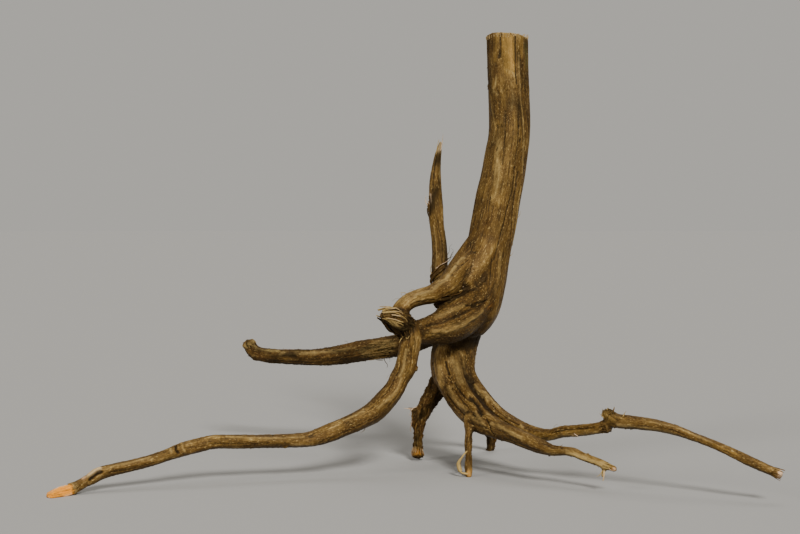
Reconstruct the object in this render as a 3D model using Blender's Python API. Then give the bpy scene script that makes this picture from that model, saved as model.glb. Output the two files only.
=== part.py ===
"""A dry root: a sawn sapling stem that bends over its own roots and stands on three of their tips.

Nothing in it is joined: the stem, the two roots that loop forward to a broken knot, the taproot
that forks beneath and the legs all grew as one piece of wood, so it is one solid. Every root is a
tube along a hand-chosen route with its own thickness and its own ridges. The tubes are fused, the
forks are rounded, and the saw, the chopped tip and the floor then cut their flats.

Metres, +Z up, standing on z = 0. The origin is the middle of the footprint, +X runs along the
longest extent and the open side of the loop faces -Y.
"""

import math
from dataclasses import dataclass

import bmesh
import bpy
from mathutils import Matrix, Vector

MM = 0.001

# Driving dimensions, in millimetres
STEM_RADIUS = 25.0  # of the sawn stem, under its thin bark
STEM_TOP = 511.0  # height of the saw cut on the stem's axis
RECENTRE = (1.4, 0.0)  # moves the routes, so that the footprint's middle is the origin

# How the tubes become one solid
SIDES = 24  # points round a tube
RING_STEP = 4.0  # millimetres along a tube between its rings
VOXEL = 1.5  # millimetres, the finest thing that the fused surface keeps
SMOOTH_PASSES = 5  # rounds the forks off to about two voxels
TRIANGLES = 9600  # left in the finished surface

# The saw cut at the top of the stem leans back and to the right
SAW_LEAN_BACK = math.radians(8.0)
SAW_LEAN_RIGHT = math.radians(5.4)

# The left tip was chopped from above, which leaves a long slanting face
CHOP_PLACE = (-370.0, -160.0, 11.5)
CHOP_NORMAL = (-0.30, -0.25, 0.92)


@dataclass(frozen=True)
class Strand:
    """One root: its route, and how its bark is ridged.

    Attributes:
        stations: (x, y, z, radius) in millimetres, from the thick end to the tip.
        ridges: how many rounded ridges run along it.
        ridge_depth: how far they stand out, as a share of the radius.
        twist: turns that the ridges make from one end to the other.
        phase: where the first ridge lies, in radians.
    """

    stations: tuple
    ridges: int = 3
    ridge_depth: float = 0.04
    twist: float = 0.3
    phase: float = 0.0


STEM = Strand(
    (
        (118, 115, 545, STEM_RADIUS), (118, 110, 483, STEM_RADIUS), (119, 106, 449, STEM_RADIUS),
        (120, 102, 412, STEM_RADIUS), (119, 98, 388, STEM_RADIUS), (115, 94, 364, 25.8),
        (111, 90, 340, 26), (106, 86, 316, 26.6), (102, 83, 292, 27), (97, 79, 268, 26.7),
        (93, 75, 244, 26.2), (90, 71, 220, 25.6), (87, 67, 198, 24), (84, 64, 182, 21.5),
        (80, 62, 168, 16.5), (76, 60, 157, 11),
    ),
    ridges=5, ridge_depth=0.022, twist=0.15,
)  # fmt: skip

# The thick root that leaves the stem's foot and comes forward under the loop
ELBOW = Strand(
    (
        (91, 71, 228, 22), (84, 63, 203, 23), (71, 48, 185, 23.4), (55, 30, 174, 23),
        (41, 15, 168, 20.2), (28, 5, 165, 16.8), (14, -2, 163, 13.8), (0, -10, 162, 12.4),
    ),
    ridges=2, ridge_depth=0.09, twist=0.12, phase=2.5,
)  # fmt: skip

# The thinner root above it, which closes the loop at the knot
BRIDGE = Strand(
    (
        (97, 84, 284, 15.5), (88, 77, 264, 18), (74, 66, 244, 18.8), (59, 51, 229, 16.8),
        (46, 34, 216, 14), (36, 26, 210, 12), (24, 15, 204, 10.8), (13, 5, 202, 10),
        (0, -6, 198, 9.6), (-10, -13, 190, 9.6), (-15, -17, 180, 9.4),
    ),
    ridges=3, ridge_depth=0.05, twist=0.5,
)  # fmt: skip

# The knot's short broken stub
STUB = Strand(
    ((-2, -10, 169, 11), (-11, -22, 175, 12.5), (-21, -35, 180, 11.6), (-30, -45, 183, 8)),
    ridges=7, ridge_depth=0.09, twist=0.2,
)  # fmt: skip

# The root that drops from the knot and runs out to the left tip
LEFT_ROOT = Strand(
    (
        (-1, -10, 168, 11.6), (0, -17, 154, 12.2), (-2, -17, 140, 12), (-6, -17, 121, 11.8),
        (-12, -17, 110, 11.3), (-18, -20, 98, 11.6), (-29, -24, 85, 12.2), (-42, -27, 73, 12.3),
        (-58, -34, 65, 11.2), (-74, -37, 58, 10.8), (-90, -44, 52, 10.7), (-104, -47, 47, 9.8),
        (-117, -51, 44, 8.6), (-139, -58, 44, 8), (-166, -66, 45, 7.6), (-191, -74, 46, 8),
        (-217, -84, 47, 8), (-234, -90, 44, 8), (-251, -97, 40, 7.8), (-267, -103, 35, 6.8),
        (-284, -110, 30, 6.6), (-304, -119, 26, 6.6), (-323, -127, 23, 6.7), (-335, -132, 20, 7.2),
        (-342, -137, 16, 6.8), (-352, -143, 11, 5.8), (-363, -152, 5.5, 6.4), (-374, -161, 3.4, 7),
        (-383, -169, 2.6, 7),
    ),
    ridges=3, ridge_depth=0.05, twist=1.1,
)  # fmt: skip
LEFT_SPUR = Strand(((-2, -17, 124, 8), (5, -20, 122, 4), (8, -21, 121, 2)))

# The root that passes behind the drop and ends in a turned-up knob
BACK_BRANCH = Strand(
    (
        (55, 94, 157, 14), (37, 98, 153, 13.6), (19, 102, 148, 13), (-5, 114, 138, 13.2),
        (-29, 126, 133, 13.4), (-48, 134, 130, 12.8), (-71, 144, 125, 12.4), (-94, 155, 120, 11.6),
        (-117, 165, 117, 10.7), (-140, 176, 116, 9.8), (-163, 186, 116, 9.1), (-184, 194, 117, 8.9),
        (-196, 198, 120, 8.6), (-202, 201, 127, 8.2), (-206, 201, 134, 6.6),
    ),
    ridges=4, ridge_depth=0.045, twist=0.8,
)  # fmt: skip

# The dead shoot that stands behind the loop and runs out to a splintered point
SPIKE = Strand(
    (
        (80, 86, 183, 14), (60, 90, 187, 12.5), (44, 97, 199, 11), (38, 104, 214, 10.8),
        (36.5, 108, 231, 10), (37, 110, 247, 9.5), (36, 112, 265, 9), (33, 114, 284, 8.8),
        (32, 116, 304, 8.6), (31, 118, 321, 8.2), (31, 120, 335, 7.3), (32, 121, 350, 6.1),
        (34, 123, 365, 4.7), (36, 124, 376, 3.4), (38, 126, 386, 2),
    ),
    ridges=3, ridge_depth=0.07, twist=0.6,
)  # fmt: skip
SPIKE_SPLINTER = Strand(((29, 116, 290, 3), (24, 115, 302, 2.4), (22.5, 115, 311, 1.6)))

# The taproot, hidden from the front down to where it forks
TAPROOT = Strand(
    (
        (91, 84, 229, 20), (83, 88, 199, 22), (66, 86, 167, 24), (56, 83, 143, 25.2),
        (52, 79, 126, 26), (51, 68, 111, 24.6), (56, 58, 97, 22),
    ),
    ridges=4, ridge_depth=0.05, twist=0.2,
)  # fmt: skip
FRONT_ROOT = Strand(
    (
        (50, 76, 152, 11), (44, 61, 129, 14.5), (45, 52, 112, 16.4), (51, 41, 95, 16.4), (59, 26, 82, 15.8),
        (69, 8, 71, 15.4), (80, -13, 62, 13.8), (95, -37, 56.5, 11.4), (112, -58, 52.5, 9.8),
        (129, -74, 47, 9), (143, -87, 42.5, 8.2), (155, -97, 39.5, 6.3), (167, -103, 39.5, 5.4),
        (177, -110, 39, 5.2), (188, -118, 35, 4.6), (200, -128, 32, 4.5), (209, -134, 29, 4.2),
        (219, -143, 25.5, 3.2),
    ),
    ridges=3, ridge_depth=0.07, twist=0.5,
)  # fmt: skip
HANGING_SPLINTER = Strand(((206, -132, 29, 3), (207, -134, 23, 2.4), (205, -136, 16, 1.6)))

# The root that runs out to the right, broken short at a knob and carried on by a side root
RIGHT_ROOT = Strand(
    (
        (63, 75, 124, 14.4), (64, 63, 107, 13.6), (71, 52, 92, 13.8), (82, 35, 79, 14),
        (95, 12, 67, 13.4), (108, -6, 59, 12.2), (123, -24, 53, 10.4), (139, -44, 50, 8.6),
        (154, -64, 51.5, 6.8), (169, -74, 56.5, 6.9), (187, -90, 60.5, 6.6), (203, -110, 65.5, 6.5),
        (216, -117, 69.5, 6.9),
    ),
    ridges=3, ridge_depth=0.07, twist=0.6,
)  # fmt: skip
RIGHT_KNOB = Strand(((222, -122, 75, 7.6), (215, -117, 80, 7.2), (213, -115, 86, 6)), ridges=4)
RIGHT_TIP = Strand(
    (
        (214, -117, 76, 6.7), (223, -122, 75, 7.6), (236, -131, 75, 7.2), (250, -141, 74.5, 6.8),
        (262, -147, 73.5, 6.4), (274, -153, 71.5, 6), (285, -159, 68.5, 5.7), (297, -165, 64.5, 5.2),
        (309, -171, 60.5, 4.9), (320, -177, 56.5, 4.8), (332, -182, 51.5, 5), (343, -188, 46.5, 5.4),
        (354, -194, 41.5, 5.3), (368, -200, 35.5, 5), (382, -205, 30, 4.9),
    ),
    ridges=2, ridge_depth=0.05, twist=0.7,
)  # fmt: skip

# The legs under the fork: one hangs just clear of the floor, two stand on it
LEFT_LEG = Strand(
    (
        (48, 71, 113, 14), (39, 76, 98, 13), (31, 80, 84, 11.4), (22, 83, 71, 10),
        (16, 85, 59, 8.8), (12, 85, 47, 7.4), (11, 85, 35, 6), (10, 84, 23, 5.4),
        (9, 83, 12, 6.4), (9, 82, 5, 7.8),
    ),
    ridges=3, ridge_depth=0.08, twist=0.6,
)  # fmt: skip
LEG_PLATE = Strand(((12, 84, 64, 4), (5, 82, 60, 2.4), (4, 82, 52, 2.4), (4, 83, 43, 2.4), (8, 84, 36, 3)))
LEG_SPUR = Strand(((10, 84, 61, 3.5), (3, 82, 62, 2.4), (-3, 81, 64, 1.6)))
FRONT_LEG = Strand(
    ((68, -12, 66, 7), (67, -18, 50, 5), (66, -24, 34, 4.4), (66, -30, 18, 4.2), (66, -37, -6, 4.6)),
    ridges=2, ridge_depth=0.12, twist=1.5,
)  # fmt: skip
BARK_CURL = Strand(
    (
        (66, -37, 2.5, 2.4), (60, -38, 3, 1.9), (55.5, -38, 7, 1.7), (54.5, -38, 13, 1.7),
        (56, -37, 19, 1.6), (60, -37, 24, 1.4),
    ),
    ridge_depth=0.0,
)  # fmt: skip
BACK_LEG = Strand(
    (
        (56, 84, 128, 15), (66, 102, 104, 12.2), (80, 122, 75, 10), (94, 140, 44, 7.8),
        (101, 151, 23, 6.4), (102, 158, 11, 5.8), (101, 165, -4, 4.8),
    ),
    ridges=3, ridge_depth=0.06,
)  # fmt: skip

# Torn bark under the elbow's outer side
BARK_FLAP = Strand(((64, 44, 161, 8), (78, 50, 164, 6.5), (86, 56, 172, 4.5)), ridge_depth=0.0)

# Torn bark that fills the crotch between the bridge and the elbow
CROTCH = Strand(((70, 56, 205, 13), (52, 42, 198, 9), (41, 36, 195, 7), (31, 26, 192, 6)))

# The swelling that lets the bridge flow out of the stem's front
SHOULDER = Strand(
    ((101, 85, 292, 19), (94, 76, 270, 22), (85, 66, 246, 21.5), (74, 56, 227, 18.5), (62, 45, 214, 14)),
)  # fmt: skip

# The frayed fibres that wrap the stub, from its top edge to its under side
FIBRE_RADIUS = 2.6
FIBRE_ROUTES = (
    ((-2, -20, 190), (-14, -29, 191), (-25, -39, 190)),
    ((-2, -22, 183), (-14, -33, 185), (-29, -46, 186)),
    ((-1, -23, 176), (-12, -35, 178), (-32, -51, 182)),
    ((-1, -21, 168), (-10, -34, 170), (-28, -49, 176)),
    ((-3, -19, 157), (-12, -28, 158), (-23, -39, 165)),
)

ROOTS = (
    STEM, ELBOW, BRIDGE, STUB, LEFT_ROOT, LEFT_SPUR, BACK_BRANCH, SPIKE, SPIKE_SPLINTER, TAPROOT,
    FRONT_ROOT, HANGING_SPLINTER, RIGHT_ROOT, RIGHT_KNOB, RIGHT_TIP, LEFT_LEG, LEG_PLATE, LEG_SPUR,
    FRONT_LEG, BARK_CURL, BACK_LEG, BARK_FLAP, CROTCH, SHOULDER,
)  # fmt: skip


def clear_scene():
    """Removes every object, so that the root is alone."""
    for obj in list(bpy.data.objects):
        bpy.data.objects.remove(obj, do_unlink=True)


def through(a, b, c, d, t):
    """The Catmull-Rom point a share t of the way from b to c, for numbers or vectors."""
    return 0.5 * (
        2 * b + (c - a) * t + (2 * a - 5 * b + 4 * c - d) * t**2 + (3 * b - a - 3 * c + d) * t**3
    )


def smooth_route(stations):
    """Places and radii every few millimetres along a smooth line through the stations.

    Args:
        stations: (x, y, z, radius) in millimetres.

    Returns:
        (places, radii) in metres.
    """
    offset = Vector((*RECENTRE, 0.0))
    places = [(Vector(station[:3]) + offset) * MM for station in stations]
    radii = [station[3] * MM for station in stations]
    places = [2 * places[0] - places[1], *places, 2 * places[-1] - places[-2]]
    radii = [radii[0], *radii, radii[-1]]
    fine_places, fine_radii = [], []
    for i in range(1, len(places) - 2):
        steps = max(1, round((places[i + 1] - places[i]).length / (RING_STEP * MM)))
        for step in range(steps):
            t = step / steps
            fine_places.append(through(*places[i - 1 : i + 3], t))
            fine_radii.append(max(through(*radii[i - 1 : i + 3], t), 0.5 * MM))
    return [*fine_places, places[-2]], [*fine_radii, radii[-2]]


def ring_axes(places):
    """Two axes across the route at each place, turned as little as possible from one to the next."""
    tangents = [
        (places[min(i + 1, len(places) - 1)] - places[max(i - 1, 0)]).normalized()
        for i in range(len(places))
    ]
    across = tangents[0].orthogonal().normalized()
    axes = []
    for i, tangent in enumerate(tangents):
        if i:
            across = tangents[i - 1].rotation_difference(tangent) @ across
        across = (across - across.dot(tangent) * tangent).normalized()
        axes.append((across, tangent.cross(across)))
    return axes


def add_tube(mesh, strand):
    """Adds one closed, ridged tube to a bmesh.

    Args:
        mesh: the bmesh that takes the tube.
        strand: the root that it follows.
    """
    places, radii = smooth_route(strand.stations)
    axes = ring_axes(places)
    rings = []
    for i, (place, radius, (side, up)) in enumerate(zip(places, radii, axes)):
        turned = strand.phase + math.tau * strand.twist * i / (len(places) - 1)
        ring = []
        for j in range(SIDES):
            angle = math.tau * j / SIDES
            out = radius * (1 + strand.ridge_depth * math.cos(strand.ridges * (angle - turned)))
            ring.append(mesh.verts.new(place + out * (math.cos(angle) * side + math.sin(angle) * up)))
        rings.append(ring)
    for near, far in zip(rings, rings[1:]):
        for j in range(SIDES):
            k = (j + 1) % SIDES
            mesh.faces.new((near[j], near[k], far[k], far[j]))
    for ring, place, inner, radius in (
        (rings[0], places[0], places[1], radii[0]),
        (rings[-1], places[-1], places[-2], radii[-1]),
    ):
        pole = mesh.verts.new(place + (place - inner).normalized() * 0.4 * radius)
        for j in range(SIDES):
            mesh.faces.new((ring[j], ring[(j + 1) % SIDES], pole))


def fibres():
    """The frayed fibres of the stub, each a thin strand that tapers to its broken end."""
    for route in FIBRE_ROUTES:
        tapers = (1.2, 1.1, 0.8)
        yield Strand(tuple((*place, FIBRE_RADIUS * taper) for place, taper in zip(route, tapers)))


def wood_material():
    """Barked dry wood: brown-olive and a little glossy where the bark has worn off."""
    material = bpy.data.materials.new("dry root wood")
    material.use_nodes = True
    shader = material.node_tree.nodes["Principled BSDF"]
    shader.inputs["Base Color"].default_value = (0.165, 0.098, 0.035, 1.0)
    shader.inputs["Roughness"].default_value = 0.6
    shader.inputs["Metallic"].default_value = 0.0
    return material


def box_cutter(name, size, placement):
    """A hidden box that a Boolean takes away.

    Args:
        name: the object's name.
        size: its sides in metres; its bottom face's middle is at its origin.
        placement: the matrix that places it.

    Returns:
        The box.
    """
    data = bpy.data.meshes.new(name)
    mesh = bmesh.new()
    bmesh.ops.create_cube(mesh, size=1.0)
    bmesh.ops.translate(mesh, verts=mesh.verts, vec=(0.0, 0.0, 0.5))
    bmesh.ops.scale(mesh, verts=mesh.verts, vec=size)
    bmesh.ops.transform(mesh, matrix=placement, verts=mesh.verts)
    mesh.to_mesh(data)
    mesh.free()
    box = bpy.data.objects.new(name, data)
    box.hide_render = True
    box.display_type = "WIRE"
    bpy.context.scene.collection.objects.link(box)
    return box


def placed(place, normal):
    """The matrix that stands a cutter at a place in millimetres, its bottom face looking against normal."""
    turn = Vector((0, 0, 1)).rotation_difference(Vector(normal).normalized())
    return Matrix.Translation((Vector(place) + Vector((*RECENTRE, 0.0))) * MM) @ turn.to_matrix().to_4x4()


def cutters():
    """The floor under the tips, the saw cut at the top and the chop at the left tip."""
    floor = box_cutter("floor", (1.2, 1.0, 0.04), Matrix.Translation((0, 0, -0.04)))
    saw_normal = (math.sin(SAW_LEAN_RIGHT), math.sin(SAW_LEAN_BACK), 1.0)
    saw = box_cutter("saw", (0.1, 0.1, 0.08), placed((*STEM.stations[0][:2], STEM_TOP), saw_normal))
    chop = box_cutter("chop", (0.05, 0.04, 0.03), placed(CHOP_PLACE, CHOP_NORMAL))
    return floor, saw, chop


def triangle_count(obj):
    """How many triangles the object has once its modifiers are evaluated."""
    bpy.context.view_layer.update()
    evaluated = obj.evaluated_get(bpy.context.evaluated_depsgraph_get())
    mesh = evaluated.to_mesh()
    mesh.calc_loop_triangles()
    count = len(mesh.loop_triangles)
    evaluated.to_mesh_clear()
    return count


def add_root():
    """The whole root as one object: tubes, fused, rounded, thinned out and cut."""
    mesh = bmesh.new()
    for strand in (*ROOTS, *fibres()):
        add_tube(mesh, strand)
    bmesh.ops.recalc_face_normals(mesh, faces=mesh.faces)
    data = bpy.data.meshes.new("root")
    mesh.to_mesh(data)
    mesh.free()
    root = bpy.data.objects.new("root", data)
    bpy.context.scene.collection.objects.link(root)
    data.materials.append(wood_material())

    fuse = root.modifiers.new("fuse", "REMESH")
    fuse.mode = "VOXEL"
    fuse.voxel_size = VOXEL * MM
    fuse.use_smooth_shade = True
    rounding = root.modifiers.new("round the forks", "SMOOTH")
    rounding.factor = 0.5
    rounding.iterations = SMOOTH_PASSES
    thin_out = root.modifiers.new("thin out", "DECIMATE")
    thin_out.ratio = TRIANGLES / triangle_count(root)
    for cutter in cutters():
        cut = root.modifiers.new(cutter.name, "BOOLEAN")
        cut.operation = "DIFFERENCE"
        cut.object = cutter
    return root


clear_scene()
add_root()
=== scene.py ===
"""How a dry root looks: streaky wood under worn bark, a frayed knot, torn ends and hair roots.

The wood is grown again along the routes of the solid's roots, fine enough for grooves, knots and
bark that follow each root's own grain. Marks that the real root carries are placed by how
far along a root they lie and how far round it from the viewer's side.
"""

import logging
import math
from collections.abc import Callable
from dataclasses import dataclass
from enum import Enum
from functools import cached_property
from itertools import product

import bmesh
import bpy
import numpy as np
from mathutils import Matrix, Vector


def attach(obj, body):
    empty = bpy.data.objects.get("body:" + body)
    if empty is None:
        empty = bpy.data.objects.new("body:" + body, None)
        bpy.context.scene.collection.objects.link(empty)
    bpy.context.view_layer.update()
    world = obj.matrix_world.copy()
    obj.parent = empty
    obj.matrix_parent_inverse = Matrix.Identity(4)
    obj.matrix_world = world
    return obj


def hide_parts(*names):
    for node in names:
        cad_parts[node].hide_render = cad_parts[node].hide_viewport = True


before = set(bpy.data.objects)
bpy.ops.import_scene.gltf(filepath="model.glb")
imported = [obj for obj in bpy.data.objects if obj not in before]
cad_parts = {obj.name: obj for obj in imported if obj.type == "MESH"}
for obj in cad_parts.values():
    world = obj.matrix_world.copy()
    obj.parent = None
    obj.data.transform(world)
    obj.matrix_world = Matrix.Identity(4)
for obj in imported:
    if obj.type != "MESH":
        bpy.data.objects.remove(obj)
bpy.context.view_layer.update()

MM = 0.001
BODY = "root"
NODE = "root"
RECENTRE = (1.4, 0.0, 0.0)  # moves the routes, so that the footprint's middle is the origin

Array = np.ndarray
Socket = bpy.types.NodeSocket
Tree = bpy.types.NodeTree
Pair = tuple[float, float]
log = logging.getLogger("dry root")


class Limb(Enum):
    """The roots, stems and splinters that grew as one piece."""

    STEM = "stem"
    ELBOW = "elbow"
    BRIDGE = "bridge"
    STUB = "stub"
    LEFT_ROOT = "left root"
    LEFT_SPUR = "left spur"
    BACK_BRANCH = "back branch"
    SPIKE = "spike"
    SPIKE_SPLINTER = "spike splinter"
    TAPROOT = "taproot"
    FRONT_ROOT = "front root"
    HANGING_SPLINTER = "hanging splinter"
    RIGHT_ROOT = "right root"
    RIGHT_KNOB = "right knob"
    RIGHT_TIP = "right tip"
    LEFT_LEG = "left leg"
    LEG_PLATE = "leg plate"
    LEG_SPUR = "leg spur"
    FRONT_LEG = "front leg"
    BARK_CURL = "bark curl"
    BACK_LEG = "back leg"
    BARK_FLAP = "bark flap"
    CROTCH = "crotch"
    SHOULDER = "shoulder"


class Grain(Enum):
    """The two grain maps. Roots that meet use different ones, so that their grain can run together."""

    FIRST = "grain_a"
    SECOND = "grain_b"


class Tone(Enum):
    """What a mark does to the finish, each an attribute of the wood from 0 to 1."""

    # the dark tone also carries painted shade: the band under the elbow and the darker legs and knot core
    DARK = "dark"  # cracks, holes, stains and dirt
    BARE = "bare"  # golden wood where the bark came off
    STRAW = "straw"  # dry pale fibres
    RAW = "raw"  # orange wood that was cut or broken lately
    PINK = "pink"  # the palest torn edges
    RED = "red"  # red-brown inner bark
    GREEN = "green"  # a thin green film
    CRACKLE = "crackle"  # thin bark with a net of fine cracks
    SCURF = "scurf"  # crumbly bark that stands up in scales
    POLISH = "polish"  # wood rubbed smooth and a little glossy


@dataclass(frozen=True)
class Skin:
    """How a root is covered.

    Attributes:
        crackle: how much of it carries finely cracked bark, 0 to 1.
        scurf: how much of it carries crumbly bark, 0 to 1.
        red: how red-brown it is, 0 to 1.
        wrinkle: height of the wrinkles across it, in millimetres.
        polish: how smooth and glossy the wood is, 0 to 1.
        shade: how much darker than the rest it is, 0 to 1.
    """

    crackle: float = 0.25
    scurf: float = 0.1
    red: float = 0.25
    wrinkle: float = 0.15
    polish: float = 0.5
    shade: float = 0.0


STREAKED = Skin(crackle=0.2, scurf=0.1, red=0.2, wrinkle=0.05, polish=0.6, shade=0.47)
WEATHERED = Skin(crackle=0.15, scurf=0.08, red=0.3, wrinkle=0.1, polish=0.4, shade=0.64)
SATIN = Skin(crackle=0.2, scurf=0.05, red=0.3, wrinkle=0.12, polish=0.7, shade=0.25)
CRACKED = Skin(crackle=0.8, scurf=0.2, red=0.4, wrinkle=0.25, polish=0.5, shade=0.3)
WAVY = Skin(crackle=0.35, scurf=0.12, red=0.3, wrinkle=0.35, polish=0.5)
RIDGED = Skin(crackle=0.4, scurf=0.2, red=0.35, wrinkle=0.12, polish=0.5, shade=0.37)
# the back branch's skin, darker than the rest
DARKER_CRACKED = Skin(crackle=0.75, scurf=0.25, red=0.6, wrinkle=0.35, polish=0.25, shade=0.62)
# the legs are darkened, partly as painted shade where they stand in the taproot's shade
ROUGH_WITH_PAINTED_SHADE = Skin(crackle=0.5, scurf=0.7, red=0.65, wrinkle=0.3, polish=0.15, shade=0.75)
TORN = Skin(crackle=0.2, scurf=0.9, red=0.7, wrinkle=0.3, polish=0.0, shade=0.5)
# the knot's core is painted dark, as the shade that shows in the gaps between its fibres
INNER_IN_PAINTED_SHADE = Skin(crackle=0.0, scurf=0.5, red=0.5, wrinkle=0.1, polish=0.0, shade=0.8)
FRAYED = Skin(crackle=0.0, scurf=0.2, red=0.1, wrinkle=0.0, polish=0.3)


@dataclass(frozen=True)
class Cut:
    """A flat end: the plane's place in millimetres, and the way that it faces."""

    place: tuple[float, float, float]
    facing: tuple[float, float, float]


SAW_LEAN_BACK = math.radians(8.0)
SAW_LEAN_RIGHT = math.radians(5.4)
SAW = Cut((118.0, 115.0, 511.0), (math.sin(SAW_LEAN_RIGHT), math.sin(SAW_LEAN_BACK), 1.0))
CHOP = Cut((-370.0, -160.0, 11.5), (-0.30, -0.25, 0.92))
FLOOR = Cut((0.0, 0.0, -0.5), (0.0, 0.0, -1.0))  # half a millimetre down, which the feet lose later


@dataclass(frozen=True)
class Strand:
    """One root: its route, how its bark is ridged and how it is covered.

    Attributes:
        limb: which root it is.
        stations: (x, y, z, radius) in millimetres, from the thick end to the tip.
        grain: the grain map that it uses.
        skin: how it is covered.
        ridges: how many rounded ridges run along it.
        ridge_depth: how far they stand out, as a share of the radius.
        twist: turns that the ridges make from one end to the other.
        phase: where the first ridge lies, in radians.
        cut: the plane that ends it.
    """

    limb: Limb
    stations: tuple[tuple[float, float, float, float], ...]
    grain: Grain = Grain.FIRST
    skin: Skin = RIDGED
    ridges: int = 3
    ridge_depth: float = 0.04
    twist: float = 0.3
    phase: float = 0.0
    cut: Cut | None = None

    @cached_property
    def course(self) -> "Course":
        """The smooth line through the stations."""
        return Course.through(self.stations)


STEM = Strand(
    Limb.STEM,
    (
        (118, 115, 545, 25), (118, 110, 483, 25), (119, 106, 449, 25), (120, 102, 412, 25),
        (119, 98, 388, 25), (115, 94, 364, 25.8), (111, 90, 340, 26), (106, 86, 316, 26.6),
        (102, 83, 292, 27), (97, 79, 268, 26.7), (93, 75, 244, 26.2), (90, 71, 220, 25.6),
        (87, 67, 198, 24), (84, 64, 182, 21.5), (80, 62, 168, 16.5), (76, 60, 157, 11),
    ),
    Grain.FIRST, STREAKED, ridges=5, ridge_depth=0.022, twist=0.15, cut=SAW,
)  # fmt: skip
ELBOW = Strand(
    Limb.ELBOW,
    (
        (91, 71, 228, 22), (84, 63, 203, 23), (71, 48, 185, 23.4), (55, 30, 174, 23),
        (41, 15, 168, 20.2), (28, 5, 165, 16.8), (14, -2, 163, 13.8), (0, -10, 162, 12.4),
    ),
    Grain.SECOND, CRACKED, ridges=2, ridge_depth=0.09, twist=0.12, phase=2.5,
)  # fmt: skip
BRIDGE = Strand(
    Limb.BRIDGE,
    (
        (97, 84, 284, 15.5), (88, 77, 264, 18), (74, 66, 244, 18.8), (59, 51, 229, 16.8), (46, 34, 216, 14),
        (36, 26, 210, 12), (24, 15, 204, 10.8), (13, 5, 202, 10), (0, -6, 198, 9.6),
        (-10, -13, 190, 9.6), (-15, -17, 180, 9.4),
    ),
    Grain.SECOND, SATIN, ridges=3, ridge_depth=0.05, twist=0.5,
)  # fmt: skip
STUB = Strand(
    Limb.STUB,
    ((-2, -10, 169, 11), (-11, -22, 175, 12.5), (-21, -35, 180, 11.6), (-30, -45, 183, 8)),
    Grain.SECOND, INNER_IN_PAINTED_SHADE, ridges=9, ridge_depth=0.12, twist=0.2,
)  # fmt: skip
LEFT_ROOT = Strand(
    Limb.LEFT_ROOT,
    (
        (-1, -10, 168, 11.6), (0, -17, 154, 12.2), (-2, -17, 140, 12), (-6, -17, 121, 11.8),
        (-12, -17, 110, 11.3), (-18, -20, 98, 11.6), (-29, -24, 85, 12.2), (-42, -27, 73, 12.3),
        (-58, -34, 65, 11.2), (-74, -37, 58, 10.8), (-90, -44, 52, 10.7), (-104, -47, 47, 9.8),
        (-117, -51, 44, 8.6), (-139, -58, 44, 8), (-166, -66, 45, 7.6), (-191, -74, 46, 8),
        (-217, -84, 47, 8), (-234, -90, 44, 8), (-251, -97, 40, 7.8), (-267, -103, 35, 6.8),
        (-284, -110, 30, 6.6), (-304, -119, 26, 6.6), (-323, -127, 23, 6.7), (-335, -132, 20, 7.2),
        (-342, -137, 16, 6.8), (-352, -143, 11, 5.8), (-363, -152, 5.5, 6.4), (-374, -161, 3.4, 7),
        (-383, -169, 2.6, 7),
    ),
    Grain.FIRST, WAVY, ridges=3, ridge_depth=0.05, twist=1.1, cut=CHOP,
)  # fmt: skip
LEFT_SPUR = Strand(
    Limb.LEFT_SPUR, ((-2, -17, 124, 8), (5, -20, 122, 4), (8, -21, 121, 2)), Grain.SECOND, TORN
)
BACK_BRANCH = Strand(
    Limb.BACK_BRANCH,
    (
        (55, 94, 157, 14), (37, 98, 153, 13.6), (19, 102, 148, 13), (-5, 114, 138, 13.2),
        (-29, 126, 133, 13.4), (-48, 134, 130, 12.8), (-71, 144, 125, 12.4), (-94, 155, 120, 11.6),
        (-117, 165, 117, 10.7), (-140, 176, 116, 9.8), (-163, 186, 116, 9.1), (-184, 194, 117, 8.9),
        (-196, 198, 120, 8.6), (-202, 201, 127, 8.2), (-206, 201, 134, 6.6),
    ),
    Grain.FIRST, DARKER_CRACKED, ridges=4, ridge_depth=0.045, twist=0.8,
)  # fmt: skip
SPIKE = Strand(
    Limb.SPIKE,
    (
        (80, 86, 183, 14), (60, 90, 187, 12.5), (44, 97, 199, 11), (38, 104, 214, 10.8),
        (36.5, 108, 231, 10), (37, 110, 247, 9.5), (36, 112, 265, 9), (33, 114, 284, 8.8),
        (32, 116, 304, 8.6), (31, 118, 321, 8.2), (31, 120, 335, 7.3), (32, 121, 350, 6.1),
        (34, 123, 365, 4.7), (36, 124, 376, 3.4), (38, 126, 386, 2),
    ),
    Grain.FIRST, WEATHERED, ridges=3, ridge_depth=0.07, twist=0.6,
)  # fmt: skip
SPIKE_SPLINTER = Strand(
    Limb.SPIKE_SPLINTER,
    ((29, 116, 290, 3), (24, 115, 302, 2.4), (22.5, 115, 311, 1.6)),
    Grain.SECOND,
    TORN,
)
TAPROOT = Strand(
    Limb.TAPROOT,
    (
        (91, 84, 229, 20), (83, 88, 199, 22), (66, 86, 167, 24), (56, 83, 143, 25.2),
        (52, 79, 126, 26), (51, 68, 111, 24.6), (56, 58, 97, 22),
    ),
    Grain.SECOND, RIDGED, ridges=4, ridge_depth=0.05, twist=0.2,
)  # fmt: skip
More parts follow.
